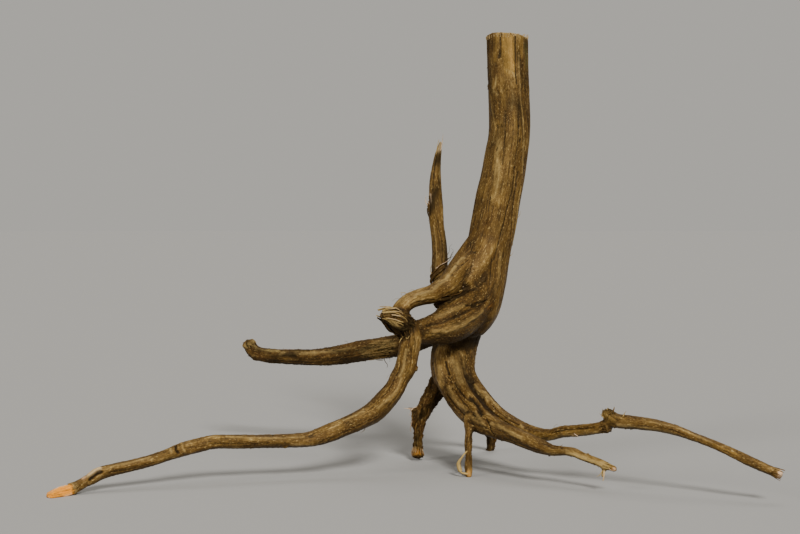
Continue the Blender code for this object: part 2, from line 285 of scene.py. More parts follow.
FRONT_ROOT = Strand(
    Limb.FRONT_ROOT,
    (
        (50, 76, 152, 11), (44, 61, 129, 14.5), (45, 52, 112, 16.4), (51, 41, 95, 16.4), (59, 26, 82, 15.8),
        (69, 8, 71, 15.4), (80, -13, 62, 13.8), (95, -37, 56.5, 11.4), (112, -58, 52.5, 9.8),
        (129, -74, 47, 9), (143, -87, 42.5, 8.2), (155, -97, 39.5, 6.3), (167, -103, 39.5, 5.4),
        (177, -110, 39, 5.2), (188, -118, 35, 4.6), (200, -128, 32, 4.5), (209, -134, 29, 4.2),
        (219, -143, 25.5, 3.2),
    ),
    Grain.FIRST, RIDGED, ridges=3, ridge_depth=0.07, twist=0.5,
)  # fmt: skip
HANGING_SPLINTER = Strand(
    Limb.HANGING_SPLINTER,
    ((206, -132, 29, 3), (207, -134, 23, 2.4), (205, -136, 16, 1.6)),
    Grain.SECOND,
    FRAYED,
)
RIGHT_ROOT = Strand(
    Limb.RIGHT_ROOT,
    (
        (63, 75, 124, 14.4), (64, 63, 107, 13.6), (71, 52, 92, 13.8), (82, 35, 79, 14),
        (95, 12, 67, 13.4), (108, -6, 59, 12.2), (123, -24, 53, 10.4), (139, -44, 50, 8.6),
        (154, -64, 51.5, 6.8), (169, -74, 56.5, 6.9), (187, -90, 60.5, 6.6), (203, -110, 65.5, 6.5),
        (216, -117, 69.5, 6.9),
    ),
    Grain.SECOND, WAVY, ridges=3, ridge_depth=0.07, twist=0.6,
)  # fmt: skip
RIGHT_KNOB = Strand(
    Limb.RIGHT_KNOB,
    ((222, -122, 75, 7.6), (215, -117, 80, 7.2), (213, -115, 86, 6)),
    Grain.SECOND,
    WAVY,
    ridges=4,
)
RIGHT_TIP = Strand(
    Limb.RIGHT_TIP,
    (
        (214, -117, 76, 6.7), (223, -122, 75, 7.6), (236, -131, 75, 7.2), (250, -141, 74.5, 6.8),
        (262, -147, 73.5, 6.4), (274, -153, 71.5, 6), (285, -159, 68.5, 5.7), (297, -165, 64.5, 5.2),
        (309, -171, 60.5, 4.9), (320, -177, 56.5, 4.8), (332, -182, 51.5, 5), (343, -188, 46.5, 5.4),
        (354, -194, 41.5, 5.3), (368, -200, 35.5, 5), (382, -205, 30, 4.9),
    ),
    Grain.FIRST, WAVY, ridges=2, ridge_depth=0.05, twist=0.7,
)  # fmt: skip
LEFT_LEG = Strand(
    Limb.LEFT_LEG,
    (
        (48, 71, 113, 14), (39, 76, 98, 13), (31, 80, 84, 11.4), (22, 83, 71, 10),
        (16, 85, 59, 8.8), (12, 85, 47, 7.4), (11, 85, 35, 6), (10, 84, 23, 5.4),
        (9, 83, 12, 6.4), (9, 82, 5, 7.8),
    ),
    Grain.FIRST, ROUGH_WITH_PAINTED_SHADE, ridges=3, ridge_depth=0.08, twist=0.6,
)  # fmt: skip
LEG_PLATE = Strand(
    Limb.LEG_PLATE,
    ((12, 84, 64, 4), (5, 82, 60, 2.4), (4, 82, 52, 2.4), (4, 83, 43, 2.4), (8, 84, 36, 3)),
    Grain.SECOND,
    TORN,
)
LEG_SPUR = Strand(
    Limb.LEG_SPUR, ((10, 84, 61, 3.5), (3, 82, 62, 2.4), (-3, 81, 64, 1.6)), Grain.SECOND, FRAYED
)
FRONT_LEG = Strand(
    Limb.FRONT_LEG,
    ((68, -12, 66, 7), (67, -18, 50, 5), (66, -24, 34, 4.4), (66, -30, 18, 4.2), (66, -37, -6, 4.6)),
    Grain.SECOND, RIDGED, ridges=2, ridge_depth=0.12, twist=1.5, cut=FLOOR,
)  # fmt: skip
BACK_LEG = Strand(
    Limb.BACK_LEG,
    (
        (56, 84, 128, 15), (66, 102, 104, 12.2), (80, 122, 75, 10), (94, 140, 44, 7.8),
        (101, 151, 23, 6.4), (102, 158, 11, 5.8), (101, 165, -4, 4.8),
    ),
    Grain.FIRST, ROUGH_WITH_PAINTED_SHADE, ridges=3, ridge_depth=0.06, cut=FLOOR,
)  # fmt: skip
BARK_FLAP = Strand(
    Limb.BARK_FLAP, ((64, 44, 161, 8), (78, 50, 164, 6.5), (86, 56, 172, 4.5)), Grain.FIRST, TORN
)
CROTCH = Strand(
    Limb.CROTCH,
    ((70, 56, 205, 13), (52, 42, 198, 9), (41, 36, 195, 7), (31, 26, 192, 6)),
    Grain.FIRST,
    TORN,
)
SHOULDER = Strand(
    Limb.SHOULDER,
    ((101, 85, 292, 19), (94, 76, 270, 22), (85, 66, 246, 21.5), (74, 56, 227, 18.5), (62, 45, 214, 14)),
    Grain.SECOND,
    SATIN,
)
BARK_CURL = Strand(
    Limb.BARK_CURL,
    (
        (66, -37, 3.5, 2.4), (60, -38, 4, 1.9), (55.5, -38, 8, 1.7), (54.5, -38, 14, 1.7),
        (56, -37, 20, 1.6), (60, -37, 25, 1.4),
    ),
)  # fmt: skip
STRANDS = (
    STEM, ELBOW, BRIDGE, STUB, LEFT_ROOT, LEFT_SPUR, BACK_BRANCH, SPIKE, SPIKE_SPLINTER, TAPROOT,
    FRONT_ROOT, HANGING_SPLINTER, RIGHT_ROOT, RIGHT_KNOB, RIGHT_TIP, LEFT_LEG, LEG_PLATE, LEG_SPUR,
    FRONT_LEG, BACK_LEG, BARK_FLAP, CROTCH, SHOULDER,
)  # fmt: skip


def catmull_rom(a: Array, b: Array, c: Array, d: Array, t: float) -> Array:
    """The smooth point a share t of the way from b to c, between a and d."""
    return 0.5 * (2 * b + (c - a) * t + (2 * a - 5 * b + 4 * c - d) * t**2 + (3 * b - a - 3 * c + d) * t**3)


def unit(vectors: Array) -> Array:
    """The vectors at length one."""
    return vectors / np.maximum(np.linalg.norm(vectors, axis=-1, keepdims=True), 1e-9)


def smooth_step(values: Array, low: float, high: float) -> Array:
    """0 below low, 1 above high and a smooth rise between."""
    share = np.clip((values - low) / (high - low), 0.0, 1.0)
    return share * share * (3.0 - 2.0 * share)


@dataclass(frozen=True)
class Course:
    """A root's middle line in small steps, in millimetres.

    Attributes:
        places: the points, one row each.
        radii: the root's radius at each.
        along: the length of the line up to each.
        tangents: the way that the line runs, towards the tip.
        across: an axis across the line that turns as little as possible.
        front: an axis across the line on the viewer's side.
    """

    places: Array
    radii: Array
    along: Array
    tangents: Array
    across: Array
    front: Array

    STEP = 2.0

    @classmethod
    def through(cls, stations: tuple[tuple[float, float, float, float], ...]) -> "Course":
        """Makes the line that runs smoothly through the stations.

        Args:
            stations: (x, y, z, radius) in millimetres.

        Returns:
            The line.
        """
        rows = np.array(stations, dtype=float) + np.array((*RECENTRE, 0.0))
        first, last = 2 * rows[0] - rows[1], 2 * rows[-1] - rows[-2]
        first[3], last[3] = rows[0, 3], rows[-1, 3]
        rows = np.vstack((first, rows, last))
        fine = []
        for i in range(1, len(rows) - 2):
            steps = max(1, round(float(np.linalg.norm(rows[i + 1, :3] - rows[i, :3])) / cls.STEP))
            fine += [catmull_rom(*rows[i - 1 : i + 3], step / steps) for step in range(steps)]
        fine = np.array([*fine, rows[-2]])
        places, radii = fine[:, :3], np.maximum(fine[:, 3], 0.5)
        lengths = np.linalg.norm(np.diff(places, axis=0), axis=1)
        tangents = unit(np.gradient(places, axis=0))
        viewer = np.array((0.0, -1.0, 0.0))
        front = unit(viewer - (tangents @ viewer)[:, None] * tangents)
        across = cls.steady_axis(tangents)
        return cls(places, radii, np.concatenate(([0.0], np.cumsum(lengths))), tangents, across, front)

    @staticmethod
    def steady_axis(tangents: Array) -> Array:
        """An axis across the line at each point, turned only as far as the line itself turns."""
        axis = Vector(tangents[0]).orthogonal().normalized()
        axes = [axis]
        for before, after in zip(tangents, tangents[1:]):
            axis = Vector(before).rotation_difference(Vector(after)) @ axis
            axis = (axis - axis.dot(Vector(after)) * Vector(after)).normalized()
            axes.append(axis)
        return np.array([tuple(axis) for axis in axes])

    def spot(self, along: float, turn: float, lift: float) -> Array:
        """A place on the root.

        Args:
            along: millimetres from its thick end.
            turn: degrees round from the viewer's side.
            lift: millimetres above its plain surface.

        Returns:
            The place in millimetres.
        """
        columns = np.hstack((self.places, self.tangents, self.front, self.radii[:, None]))
        row = np.array([np.interp(along, self.along, column) for column in columns.T])
        tangent, front, angle = unit(row[3:6]), unit(row[6:9]), math.radians(turn)
        out = math.cos(angle) * front + math.sin(angle) * np.cross(front, tangent)
        past_end = along - float(np.clip(along, 0.0, self.along[-1]))
        return row[:3] + past_end * tangent + (row[9] + lift) * out


class Noise:
    """Smooth gradient noise between about -1 and 1 that is the same on every run."""

    def __init__(self, seed: int) -> None:
        """Shuffles the gradients by the seed."""
        draw = np.random.default_rng(seed)
        self.order = draw.permutation(256)
        self.slopes = unit(draw.normal(size=(256, 3)))

    def __call__(self, places: Array) -> Array:
        """The noise at each place, one row each, whose features are about one unit wide."""
        cell = np.floor(places).astype(np.int64)
        inside = places - cell
        ease = inside**3 * (inside * (inside * 6.0 - 15.0) + 10.0)
        total = np.zeros(len(places))
        for corner in product((0, 1), repeat=3):
            x, y, z = (cell + corner).T
            pick = self.order[(self.order[(self.order[x & 255] + y) & 255] + z) & 255]
            share = np.prod(np.where(corner, ease, 1.0 - ease), axis=1)
            total += share * np.sum((inside - corner) * self.slopes[pick], axis=1)
        return total * 1.7


@dataclass
class Stretch:
    """The points that lie in one root's grain.

    Attributes:
        strand: the root.
        rows: which points they are.
        along: how far along the root each lies, in millimetres.
        turn: how far round it from the viewer's side, in radians.
        wrap: its place across the root, at the root's own radius, in millimetres.
        radius: the root's radius there.
        share: how much of the point's finish comes from this root, 0 to 1.
        gap: how far it is above the root's plain surface, in millimetres.
        step: the nearest step of the root's middle line.
    """

    strand: Strand
    rows: Array
    along: Array
    turn: Array
    wrap: Array
    radius: Array
    share: Array
    gap: Array
    step: Array

    def grid(self, across: float, along: float) -> Array:
        """Places for noise whose features have these sizes in millimetres across and along the grain."""
        offset = 31.7 * STRANDS.index(self.strand)
        return np.column_stack((self.wrap / across, self.along / along)) + offset


class GrainMap:
    """Where each point of the wood lies in the grain of the roots around it."""

    REACH = 16.0  # millimetres from a root's surface within which a point may belong to it
    BLEND = 2.2  # millimetres over which one root's grain gives way to the next

    def __init__(self, places: Array) -> None:
        """Finds the roots around each point.

        Args:
            places: the points in millimetres, one row each.
        """
        self.count = len(places)
        self.stretches = [s for s in (self.stretch(places, strand) for strand in STRANDS) if s]
        nearest = np.full(self.count, 1e3)
        for stretch in self.stretches:
            nearest[stretch.rows] = np.minimum(nearest[stretch.rows], stretch.gap)
        total = np.zeros(self.count)
        for stretch in self.stretches:
            stretch.share = np.exp(-(((stretch.gap - nearest[stretch.rows]) / self.BLEND) ** 2))
            total[stretch.rows] += stretch.share
        for stretch in self.stretches:
            stretch.share /= np.maximum(total[stretch.rows], 1e-9)
        self.nearest = nearest

    def stretch(self, places: Array, strand: Strand) -> Stretch | None:
        """The points around one root, or None where there are none."""
        course = strand.course
        reach = self.REACH + course.radii.max()
        low, high = course.places.min(axis=0) - reach, course.places.max(axis=0) + reach
        rows = np.flatnonzero(((places > low) & (places < high)).all(axis=1))
        if not len(rows):
            return None
        points = places[rows]
        index = np.empty(len(points), dtype=int)
        for start in range(0, len(points), 20000):
            part = points[start : start + 20000]
            apart = (
                (part**2).sum(axis=1)[:, None]
                - 2.0 * part @ course.places.T
                + (course.places**2).sum(axis=1)[None, :]
            )
            index[start : start + 20000] = apart.argmin(axis=1)
        offset = points - course.places[index]
        tangent = course.tangents[index]
        ahead = (offset * tangent).sum(axis=1)
        out = offset - ahead[:, None] * tangent
        distance = np.linalg.norm(out, axis=1)
        radius = np.interp(course.along[index] + ahead, course.along, course.radii)
        past_end = np.maximum(np.abs(ahead) - Course.STEP, 0.0)
        gap = np.hypot(distance - radius, past_end) * np.sign(distance - radius + past_end)
        near = gap < self.REACH
        rows, index, out, ahead = rows[near], index[near], out[near], ahead[near]
        distance, radius, gap, tangent = distance[near], radius[near], gap[near], tangent[near]
        front, across = course.front[index], course.across[index]
        side = np.cross(front, tangent)
        turn = np.arctan2((out * side).sum(axis=1), (out * front).sum(axis=1))
        third = np.cross(tangent, across)
        wrap = np.column_stack(((out * across).sum(axis=1), (out * third).sum(axis=1)))
        wrap *= (radius / np.maximum(distance, 0.3))[:, None]
        along = course.along[index] + ahead
        return Stretch(strand, rows, along, turn, wrap, radius, np.ones(len(rows)), gap, index)

    def blend(self, value: Callable[[Stretch], Array | float]) -> Array:
        """A value for each point, shared between the roots around it.

        Args:
            value: gives the value for the points of one root.

        Returns:
            One value a point.
        """
        total = np.zeros(self.count)
        for stretch in self.stretches:
            total[stretch.rows] += stretch.share * value(stretch)
        return total

    def coordinates(self, grain: Grain) -> tuple[Array, Array]:
        """The grain coordinates of one map, and how far each point is from a root that uses it.

        Args:
            grain: the map.

        Returns:
            (coordinates in millimetres, gaps in millimetres), one row a point.
        """
        found = np.zeros((self.count, 3))
        gaps = np.full(self.count, 1e3)
        for stretch in self.stretches:
            if stretch.strand.grain is not grain:
                continue
            better = stretch.gap < gaps[stretch.rows]
            rows = stretch.rows[better]
            gaps[rows] = stretch.gap[better]
            found[rows] = np.column_stack((stretch.wrap, stretch.along))[better]
            found[rows, 0] += 97.0 * STRANDS.index(stretch.strand)
        return found, gaps


class Mark:
    """Something that one root carries at one place: a groove, a ridge, a stain or a scar.

    Attributes:
        line: (along, turn) pairs: millimetres from the root's thick end, and degrees round from the
            viewer's side, to the right of a root that runs down and downwards on one that runs left.
        width: half its width in millimetres.
        sunk: how deep it is in millimetres, less than 0 where it stands out.
        tones: what it does to the finish, each 0 to 1.
        edge: the share of its width over which it fades out.
        ragged: how far noise moves its edge, as a share of its width.
    """

    def __init__(
        self, line: tuple[tuple[float, float], ...], width: float, sunk: float = 0.0, edge: float = 1.0,
        ragged: float = 0.35, **shares: float,
    ) -> None:
        """Keeps its sizes, and its tones by name, such as dark=0.8."""
        self.line, self.width, self.sunk, self.edge, self.ragged = line, width, sunk, edge, ragged
        self.tones = tones(**shares)

    def strength(self, stretch: Stretch, noise: Noise) -> Array:
        """How strongly the mark shows at each point of its root, 0 to 1.

        Args:
            stretch: the points.
            noise: what makes its edge ragged.

        Returns:
            One value a point.
        """
        line = np.array(self.line, dtype=float)
        result = np.zeros(len(stretch.rows))
        margin = 2.0 * self.width
        low, high = line[:, 0].min() - margin, line[:, 0].max() + margin
        close = np.flatnonzero((stretch.along > low) & (stretch.along < high))
        if not len(close):
            return result
        along, turn, radius = stretch.along[close], stretch.turn[close], stretch.radius[close]
        apart = np.full(len(close), 1e3)
        for start, end in zip(line, line[1:] if len(line) > 1 else line):
            steps = max(1, int(np.ceil(np.abs(end[0] - start[0]) / (0.4 * self.width))), 4)
            for share in np.linspace(0.0, 1.0, steps + 1):
                s, degrees = start + (end - start) * share
                swing = np.angle(np.exp(1j * (turn - np.radians(degrees))))
                apart = np.minimum(apart, np.hypot(along - s, swing * radius))
        grid = stretch.grid(min(3.0, self.width), 3.0 * min(3.0, self.width))[close]
        width = self.width * (1.0 + self.ragged * noise(grid))
        result[close] = smooth_step((width - apart) / (self.edge * self.width), 0.0, 1.0)
        return result


def tones(**shares: float) -> tuple[tuple[Tone, float], ...]:
    """The tones of a mark, written as dark=0.8, straw=0.3 and so on."""
    return tuple((Tone[name.upper()], share) for name, share in shares.items())


MARKS: dict[Limb, tuple[Mark, ...]] = {
    Limb.STEM: (
        # the golden panel under the saw cut, its dark borders and the darker panel to its left
        Mark(((36, -2), (60, -1), (78, 0)), 8.5, 0.4, 0.3, 0.2, bare=1, polish=0.5),
        Mark(((42, 6), (62, 8), (76, 10)), 3.6, 0, 1, 0.7, straw=0.4, raw=0.15),
        Mark(((30, 19), (54, 19), (80, 18), (96, 20)), 1.2, 1.6, dark=0.9),
        Mark(((34, -23), (49, -23), (62, -27)), 2.6, 1.2, dark=0.85),
        Mark(((36, -52), (60, -54), (84, -50)), 10, 0, 0.8, 0.6, dark=0.45, red=0.5),
        Mark(((34, -34), (48, -36), (66, -40)), 3, -0.3, 0.8, bare=0.6),
        Mark(((46, 62), (72, 66)), 7, 0, 0.9, green=0.7), Mark(((38, 40), (60, 42)), 6, -0.4, bare=0.4),
        # the dark mottled band below, with its pale scratches
        Mark(((92, -80), (104, -40), (100, 0), (98, 40), (96, 80)), 15, 0, 0.9, 0.6, dark=0.42, scurf=0.3),
        Mark(((86, -38), (95, -42), (100, -50)), 1.5, 0.5, straw=0.9),
        Mark(((103, -53), (104, -40), (108, -36)), 1.2, 0.4, straw=0.7),
        Mark(((78, -8), (80, 6), (84, 14)), 1.6, 0.4, straw=0.6),
        Mark(((92, 4), (112, 8), (128, 2)), 1.4, 0.3, straw=0.4),
        Mark(((120, -60), (150, -46), (170, -50)), 1.3, -0.3, straw=0.4),
        # pits and dark spots
        Mark(((147, 23), (149, 24)), 1.5, 1.2, dark=0.9), Mark(((155, 22), (157, 24)), 1.2, 1, dark=0.8),
        Mark(((161, 31), (164, 30)), 1.7, 1.3, dark=0.9, red=0.4),
        Mark(((147, -39), (150, -38)), 2.8, 0.8, dark=0.8),
        Mark(((176, -30), (179, -32)), 1.4, 0.8, dark=0.6),
        # the rubbed shoulder: glossier wood that takes the light, with pale streaks painted as its highlight
        Mark(((146, -34), (178, -30), (205, -18), (240, -6)), 9, -0.4, 0.9, polish=1, bare=0.3),
        Mark(((166, -32), (190, -26), (212, -16), (236, -10)), 4.6, -0.2, 1, 0.8, straw=0.36),
        Mark(((172, -30), (188, -26), (198, -24)), 0.9, -0.1, 0.9, 0.8, straw=0.8),
        Mark(((190, -18), (206, -15), (224, -11)), 1.1, -0.1, 0.9, 0.8, straw=0.75),
        Mark(((198, -27), (214, -22), (222, -20)), 0.8, -0.1, 0.9, 0.8, straw=0.7),
        # long grooves and veins down the front and right
        Mark(((60, 30), (110, 30), (150, 40), (200, 54)), 2.2, -0.8, straw=0.25),
        Mark(((196, 26), (223, 32), (250, 24), (280, 20), (310, 14)), 1.3, 1.3, dark=0.8),
        Mark(((200, 40), (211, 38), (252, 44), (288, 58), (320, 66)), 1.5, 1.5, dark=0.85),
        Mark(((215, 58), (250, 62), (285, 74)), 2.4, -1, straw=0.45),
        Mark(((128, -14), (160, -16), (196, -8)), 1, 0.8, dark=0.6),
        Mark(((140, 6), (180, 8), (220, 14)), 1, 0.7, dark=0.5),
        Mark(((236, -24), (262, -22), (300, -34)), 1, 0.7, dark=0.5),
        Mark(((262, -16), (286, -20), (312, -18), (330, -10)), 10, 0, 0.9, 0.7, dark=0.5, red=0.7, crackle=0.5, scurf=0.2),
        Mark(((300, 30), (330, 34), (350, 30)), 3, -0.8, straw=0.2),
        Mark(((310, 6), (340, 10), (356, 6)), 1.5, 1.2, dark=0.7),
        # the back, in the same manner
        Mark(((34, 150), (70, 152), (120, 158), (190, 150)), 1.3, 1.4, dark=0.8),
        Mark(((60, -130), (110, -126), (170, -134), (240, -140)), 1.2, 1.2, dark=0.7),
        Mark(((90, 178), (140, 174), (200, 180)), 9, 0.3, 0.5, bare=0.6),
        Mark(((210, 120), (250, 118), (300, 112)), 1.7, 1.4, dark=0.7),
        Mark(((230, -170), (233, -168)), 4.5, -1.2, red=0.5),
        Mark(((231, -170), (232, -168)), 1.4, 1.5, dark=0.9),
        # the crease between its two ridges, and the ridges
        Mark(((322, -6), (342, -2)), 9, crackle=1),
        # the oval scar, with the dark hole to its right on each root that meets there
        Mark(((333, -40), (343, -37)), 5.6, -1, 0.5, 0.2, raw=1, red=0.3),
        Mark(((336, -22), (347, -20)), 2.6, 1.4, dark=0.95),
    ),
    Limb.ELBOW: (
        # the crease between its two ridges, and the ridges
        Mark(((134, -30), (113, -27), (93, -18), (68, -4), (45, 20)), 3.4, 1.9, dark=0.3),
        Mark(((121, -52), (101, -46), (79, -30)), 4.5, -1.3, straw=0.2),
        Mark(((128, 8), (104, 12), (82, 16), (59, 24)), 6, -1.6, straw=0.25),
        Mark(((78, -26), (60, -8), (44, 20)), 1.9, 2, dark=1),
        Mark(((70, -14), (62, -6)), 3.2, 1.6, dark=0.95), Mark(((10, -6), (22, 2)), 9, crackle=1),
        Mark(((132, 28), (110, 36), (84, 44)), 1, 0.4, dark=0.4),
        Mark(((126, -8), (104, -2), (80, 6)), 0.9, 0.3, dark=0.35),
        Mark(((134, 10), (104, 22), (70, 30)), 9, 0, 1, 0.5, bare=0.35, polish=0.6),
        Mark(((136, 60), (128, 66)), 5, red=0.9, pink=0.15), Mark(((140, 20), (136, 30)), 4, red=0.6),
        Mark(((47, 44), (40, 50)), 3.5, red=0.8, raw=0.2),
        Mark(((118, 14), (104, 20), (88, 22)), 2, -0.3, straw=0.6, polish=0.6),
        # the oval scar, with the dark hole to its right on each root that meets there
        Mark(((19, -48), (29, -44)), 5.6, -1, 0.5, 0.2, raw=1, red=0.3),
        Mark(((24, -26), (36, -24)), 2.6, 1.4, dark=0.95),
        # torn dark bark under it
        Mark(((88, -74), (70, -62), (55, -49), (44, -34)), 2.8, 1.8, dark=1, scurf=0.5),
        # painted shade: a dark band along the elbow's underside, over the hollow under it
        Mark(((50, 100), (80, 92), (120, 90)), 10, 0, 0.8, 0.4, dark=0.95),
    ),
    Limb.BRIDGE: (
        # a hole and cracks where it leaves the stem
        Mark(((53, -14), (51, -8)), 2.4, 2.4, dark=1), Mark(((39, -50), (47, -38)), 1.1, 1.4, dark=0.9),
        Mark(((45, -30), (57, -26)), 1, 1.2, dark=0.8),
        # the oval scar, with the dark hole to its right on each root that meets there
        Mark(((73, 70), (82, 74)), 5.6, -1, 0.5, 0.2, raw=1, red=0.3),
        # torn dark bark under it
        Mark(((125, 62), (111, 74), (99, 84), (87, 84)), 3.6, 1.4, dark=1, scurf=0.8),
        # satin ridges along its top, tinted pale as a painted highlight
        Mark(((70, -36), (96, -38), (118, -40), (145, -30), (163, -20)), 4.2, -0.5, 0.9, 0.6, polish=1, straw=0.4),
        Mark(((87, 30), (107, 36), (131, 40)), 1, 0.7, dark=0.5),
        Mark(((67, -14), (91, -20), (117, -40)), 1, 0.8, dark=0.5),
        Mark(((137, 30), (157, 26), (173, 20)), 1, 0.8, dark=0.6),
        Mark(((145, -34), (167, -30)), 1, 0.6, dark=0.5),
    ),
    Limb.SHOULDER: (
        # torn dark bark under it
        Mark(((122, 30), (106, 50), (96, 56)), 2.8, 1.6, dark=1, scurf=0.5),
    ),
    Limb.STUB: (
        # a dark red-brown streak along one side, a dark red band round its foot, and a raised pale green-straw streak
        Mark(((6, 84), (26, 88), (46, 92)), 12, 1.2, 0.6, dark=1, red=0.5),
        Mark(((18, 22), (30, 28), (40, 30)), 4, -1.6, 0.6, straw=0.8, green=0.4),
        Mark(((6, -40), (8, 0), (8, 60)), 5.5, 0.8, dark=0.93, red=0.9),
    ),
    Limb.LEFT_ROOT: (
        # satin ridges along its top
        Mark(((2, -120), (9, -80), (13, -50), (11, -16)), 9, 0.6, 0.6, dark=1, red=0.4),
        Mark(((26, -20), (44, -16), (60, -12)), 2.6, -0.4, straw=0.6, polish=0.5),
        Mark(((60, 6), (84, 6), (105, -6)), 2.2, -0.4, straw=0.5, polish=0.4),
        Mark(((24, 14), (46, 22), (70, 30), (96, 30)), 1, 0.8, dark=0.65),
        Mark(((36, -44), (60, -36), (90, -34), (120, -30)), 1, 0.8, dark=0.6),
        Mark(((20, 0), (100, 0), (160, 0)), 14, 0, 0.8, crackle=0.6),
        Mark(((110, 30), (140, 26), (170, 34)), 0.9, 0.7, dark=0.5),
        Mark(((125, -40), (150, -44)), 1.8, -0.6, straw=0.5),
        Mark(((220, 50), (222, 56)), 2.6, -1.6, red=0.4),
        Mark(((235, -70), (237, -66)), 1.5, 0.8, dark=0.8),
        Mark(((200, -40), (240, -34), (290, -44)), 1.6, -0.5, straw=0.4),
        Mark(((240, 10), (290, 16), (330, 6)), 0.8, 0.6, dark=0.5),
        # the notched knot
        Mark(((344, -80), (346, -30), (345, 10)), 2.6, 1.9, dark=0.9),
        Mark(((338, -70), (339, -20), (338, 20)), 2.6, -1.1, straw=0.2),
        Mark(((351, -50), (352, -20)), 3, -1.3, straw=0.5),
        Mark(((375, -46), (398, -40), (420, -36)), 1.6, -0.5, straw=0.4),
        Mark(((370, 20), (400, 26), (424, 16)), 0.9, 0.7, dark=0.55),
        # the eye-shaped hollow with its pale rim
        Mark(((432, -44), (438, -50), (446, -44)), 3.6, -1.4, 0.8, straw=0.8, pink=0.3),
        Mark(((433, -16), (438, -12), (445, -4)), 3.6, 3, 0.8, dark=1),
        Mark(((449, -56), (453, -50)), 2.2, -0.5, pink=0.5, raw=0.3),
        Mark(((448, -20), (456, -12)), 3.6, 0.2, red=0.6, bare=0.3),
        # the raw chopped tip and the torn bark where it starts
        Mark(((466, 0), (468, 90), (466, 180), (467, -90), (466, 0)), 2.2, -0.5, 0.9, 0.6, straw=0.4),
        Mark(((494, 0), (492, 90), (493, 180), (492, -90), (494, 0)), 25, 0.7, 0.12, 0.14, raw=1),
        Mark(((474, -84), (500, -96)), 1.6, -0.6, pink=0.8),
        Mark(((472, 40), (500, 44)), 1.8, -0.6, pink=0.8),
        Mark(((476, -44), (499, -50)), 1.3, 1.3, red=0.5),
        Mark(((472, -6), (486, -12), (499, -10)), 1.3, 1.3, red=0.5),
        Mark(((472, -28), (496, -30)), 1.5, -0.9),
    ),
    Limb.BACK_BRANCH: (
        # crumbly torn bark, grooves and pale streaks along it, and the pale rings round its tip
        Mark(((84, -10), (100, 0), (116, 8)), 13, 0.4, 0.8, 0.6, scurf=0.9, straw=0.5),
        Mark(((86, 30), (104, 40), (114, 50)), 5, 1, dark=0.8),
        Mark(((120, 10), (160, 14), (210, 6)), 1, 0.9, dark=0.6),
        Mark(((130, -30), (180, -34), (240, -24)), 1.6, -0.5, straw=0.45),
        Mark(((190, 34), (240, 30)), 1, 0.8, dark=0.5), Mark(((255, -60), (262, -20)), 1.7, 0.9, dark=0.6),
        Mark(((272, -40), (276, 20), (274, 70)), 3, -1, red=0.4),
        Mark(((291, 0), (293, 90), (291, 180), (293, -90), (291, 0)), 5, -1.6, 0.9, 0.5, straw=0.7, green=0.2),
        Mark(((299, 0), (300, 90), (299, 180), (300, -90), (299, 0)), 2.4, -0.6, 0.9, 0.7, straw=0.7, red=0.2),
        Mark(((289, 20), (294, 26), (299, 24)), 2, 1.8, 0.8, dark=0.9),
        Mark(((244, -56), (266, -50), (286, -40)), 4, -0.8, 1, 0.6, straw=0.35, green=0.6),
        Mark(((140, -34), (190, -40), (236, -36)), 3.4, -0.2, 1, 0.9, straw=0.5, polish=0.5),
        Mark(((286, -10), (290, 10)), 1.2, 1.2, dark=0.9),
    ),
    Limb.SPIKE: (
        # its pale tip, a dark torn patch, grooves and pale streaks along it
        Mark(((240, 0), (230, 0), (224, 10)), 6, 0.3, 0.9, 0.6, straw=1, pink=0.3),
        Mark(((232, -70), (210, -60), (186, -56)), 1.6, 0.4, straw=0.8),
        Mark(((214, 30), (190, 20), (160, 30)), 1.4, 1.2, dark=0.8, red=0.4),
        Mark(((164, 60), (152, 58), (144, 60)), 3, 1.6, dark=1, scurf=0.7),
        Mark(((168, 48), (158, 42)), 1.2, -0.5, pink=0.9),
        Mark(((136, -10), (110, -16), (84, -14)), 1, 0.8, dark=0.6),
        Mark(((130, 30), (100, 34), (74, 30)), 1.3, -0.5, straw=0.4),
        Mark(((120, 160), (90, 165)), 1.5, 1.4, dark=0.7),
    ),
    Limb.TAPROOT: (
        # painted shade: a dark band where the elbow shades the hollow under it
        Mark(((104, -90), (102, -40), (98, 0), (90, 34), (76, 80)), 19, 0, 0.5, 0.3, dark=1),
        # the slit with the small V below it, and the pale wood beside
        Mark(((126, 14), (146, 24)), 12, -0.3, 1, 0.7, straw=0.28, polish=0.8),
        Mark(((96, -16), (116, -12)), 1, 0.8, dark=0.6),
        Mark(((100, 44), (128, 50), (146, 54)), 1.1, 0.9, dark=0.6),
    ),
    Limb.FRONT_ROOT: (
        # painted shade: a dark band where the elbow shades the hollow under it
        Mark(((12, -120), (14, -40), (14, 20), (8, 70)), 15, 0, 0.5, 0.3, dark=1),
        # the slit with the small V below it, and the pale wood beside
        Mark(((42, -4), (50, -2), (60, 2)), 1.7, 3, dark=1),
        Mark(((62, -6), (68, 2), (64, 12)), 0.9, 1.4, dark=0.9),
        Mark(((42, 30), (58, 44), (80, 46)), 10, -0.3, 1, 0.7, straw=0.28, polish=0.8),
        Mark(((48, -30), (68, -46)), 7, -1.2, straw=0.2),
        Mark(((70, 0), (100, 4), (130, 0)), 16, 0, 0.9, 0.6, crackle=0.6, scurf=0.3),
        # broad ridges that flow down and to the right
        Mark(((78, -20), (108, -14), (138, -8), (160, 0)), 5, -1.4, straw=0.25),
        Mark(((76, 14), (98, 22), (118, 30)), 1.4, 1.6, dark=0.8),
        Mark(((84, -40), (114, -34), (146, -32)), 1.1, 1.2, dark=0.7),
        Mark(((88, 4), (112, 6), (134, 10)), 1, 1, dark=0.6),
        # the dark hollow between the two roots, and the rounded tongue under it
        Mark(((112, 46), (128, 54), (140, 52), (150, 44)), 5.4, 3, 0.8, dark=1),
        Mark(((140, 24), (154, 18), (164, -2)), 3, -1.2, straw=0.35),
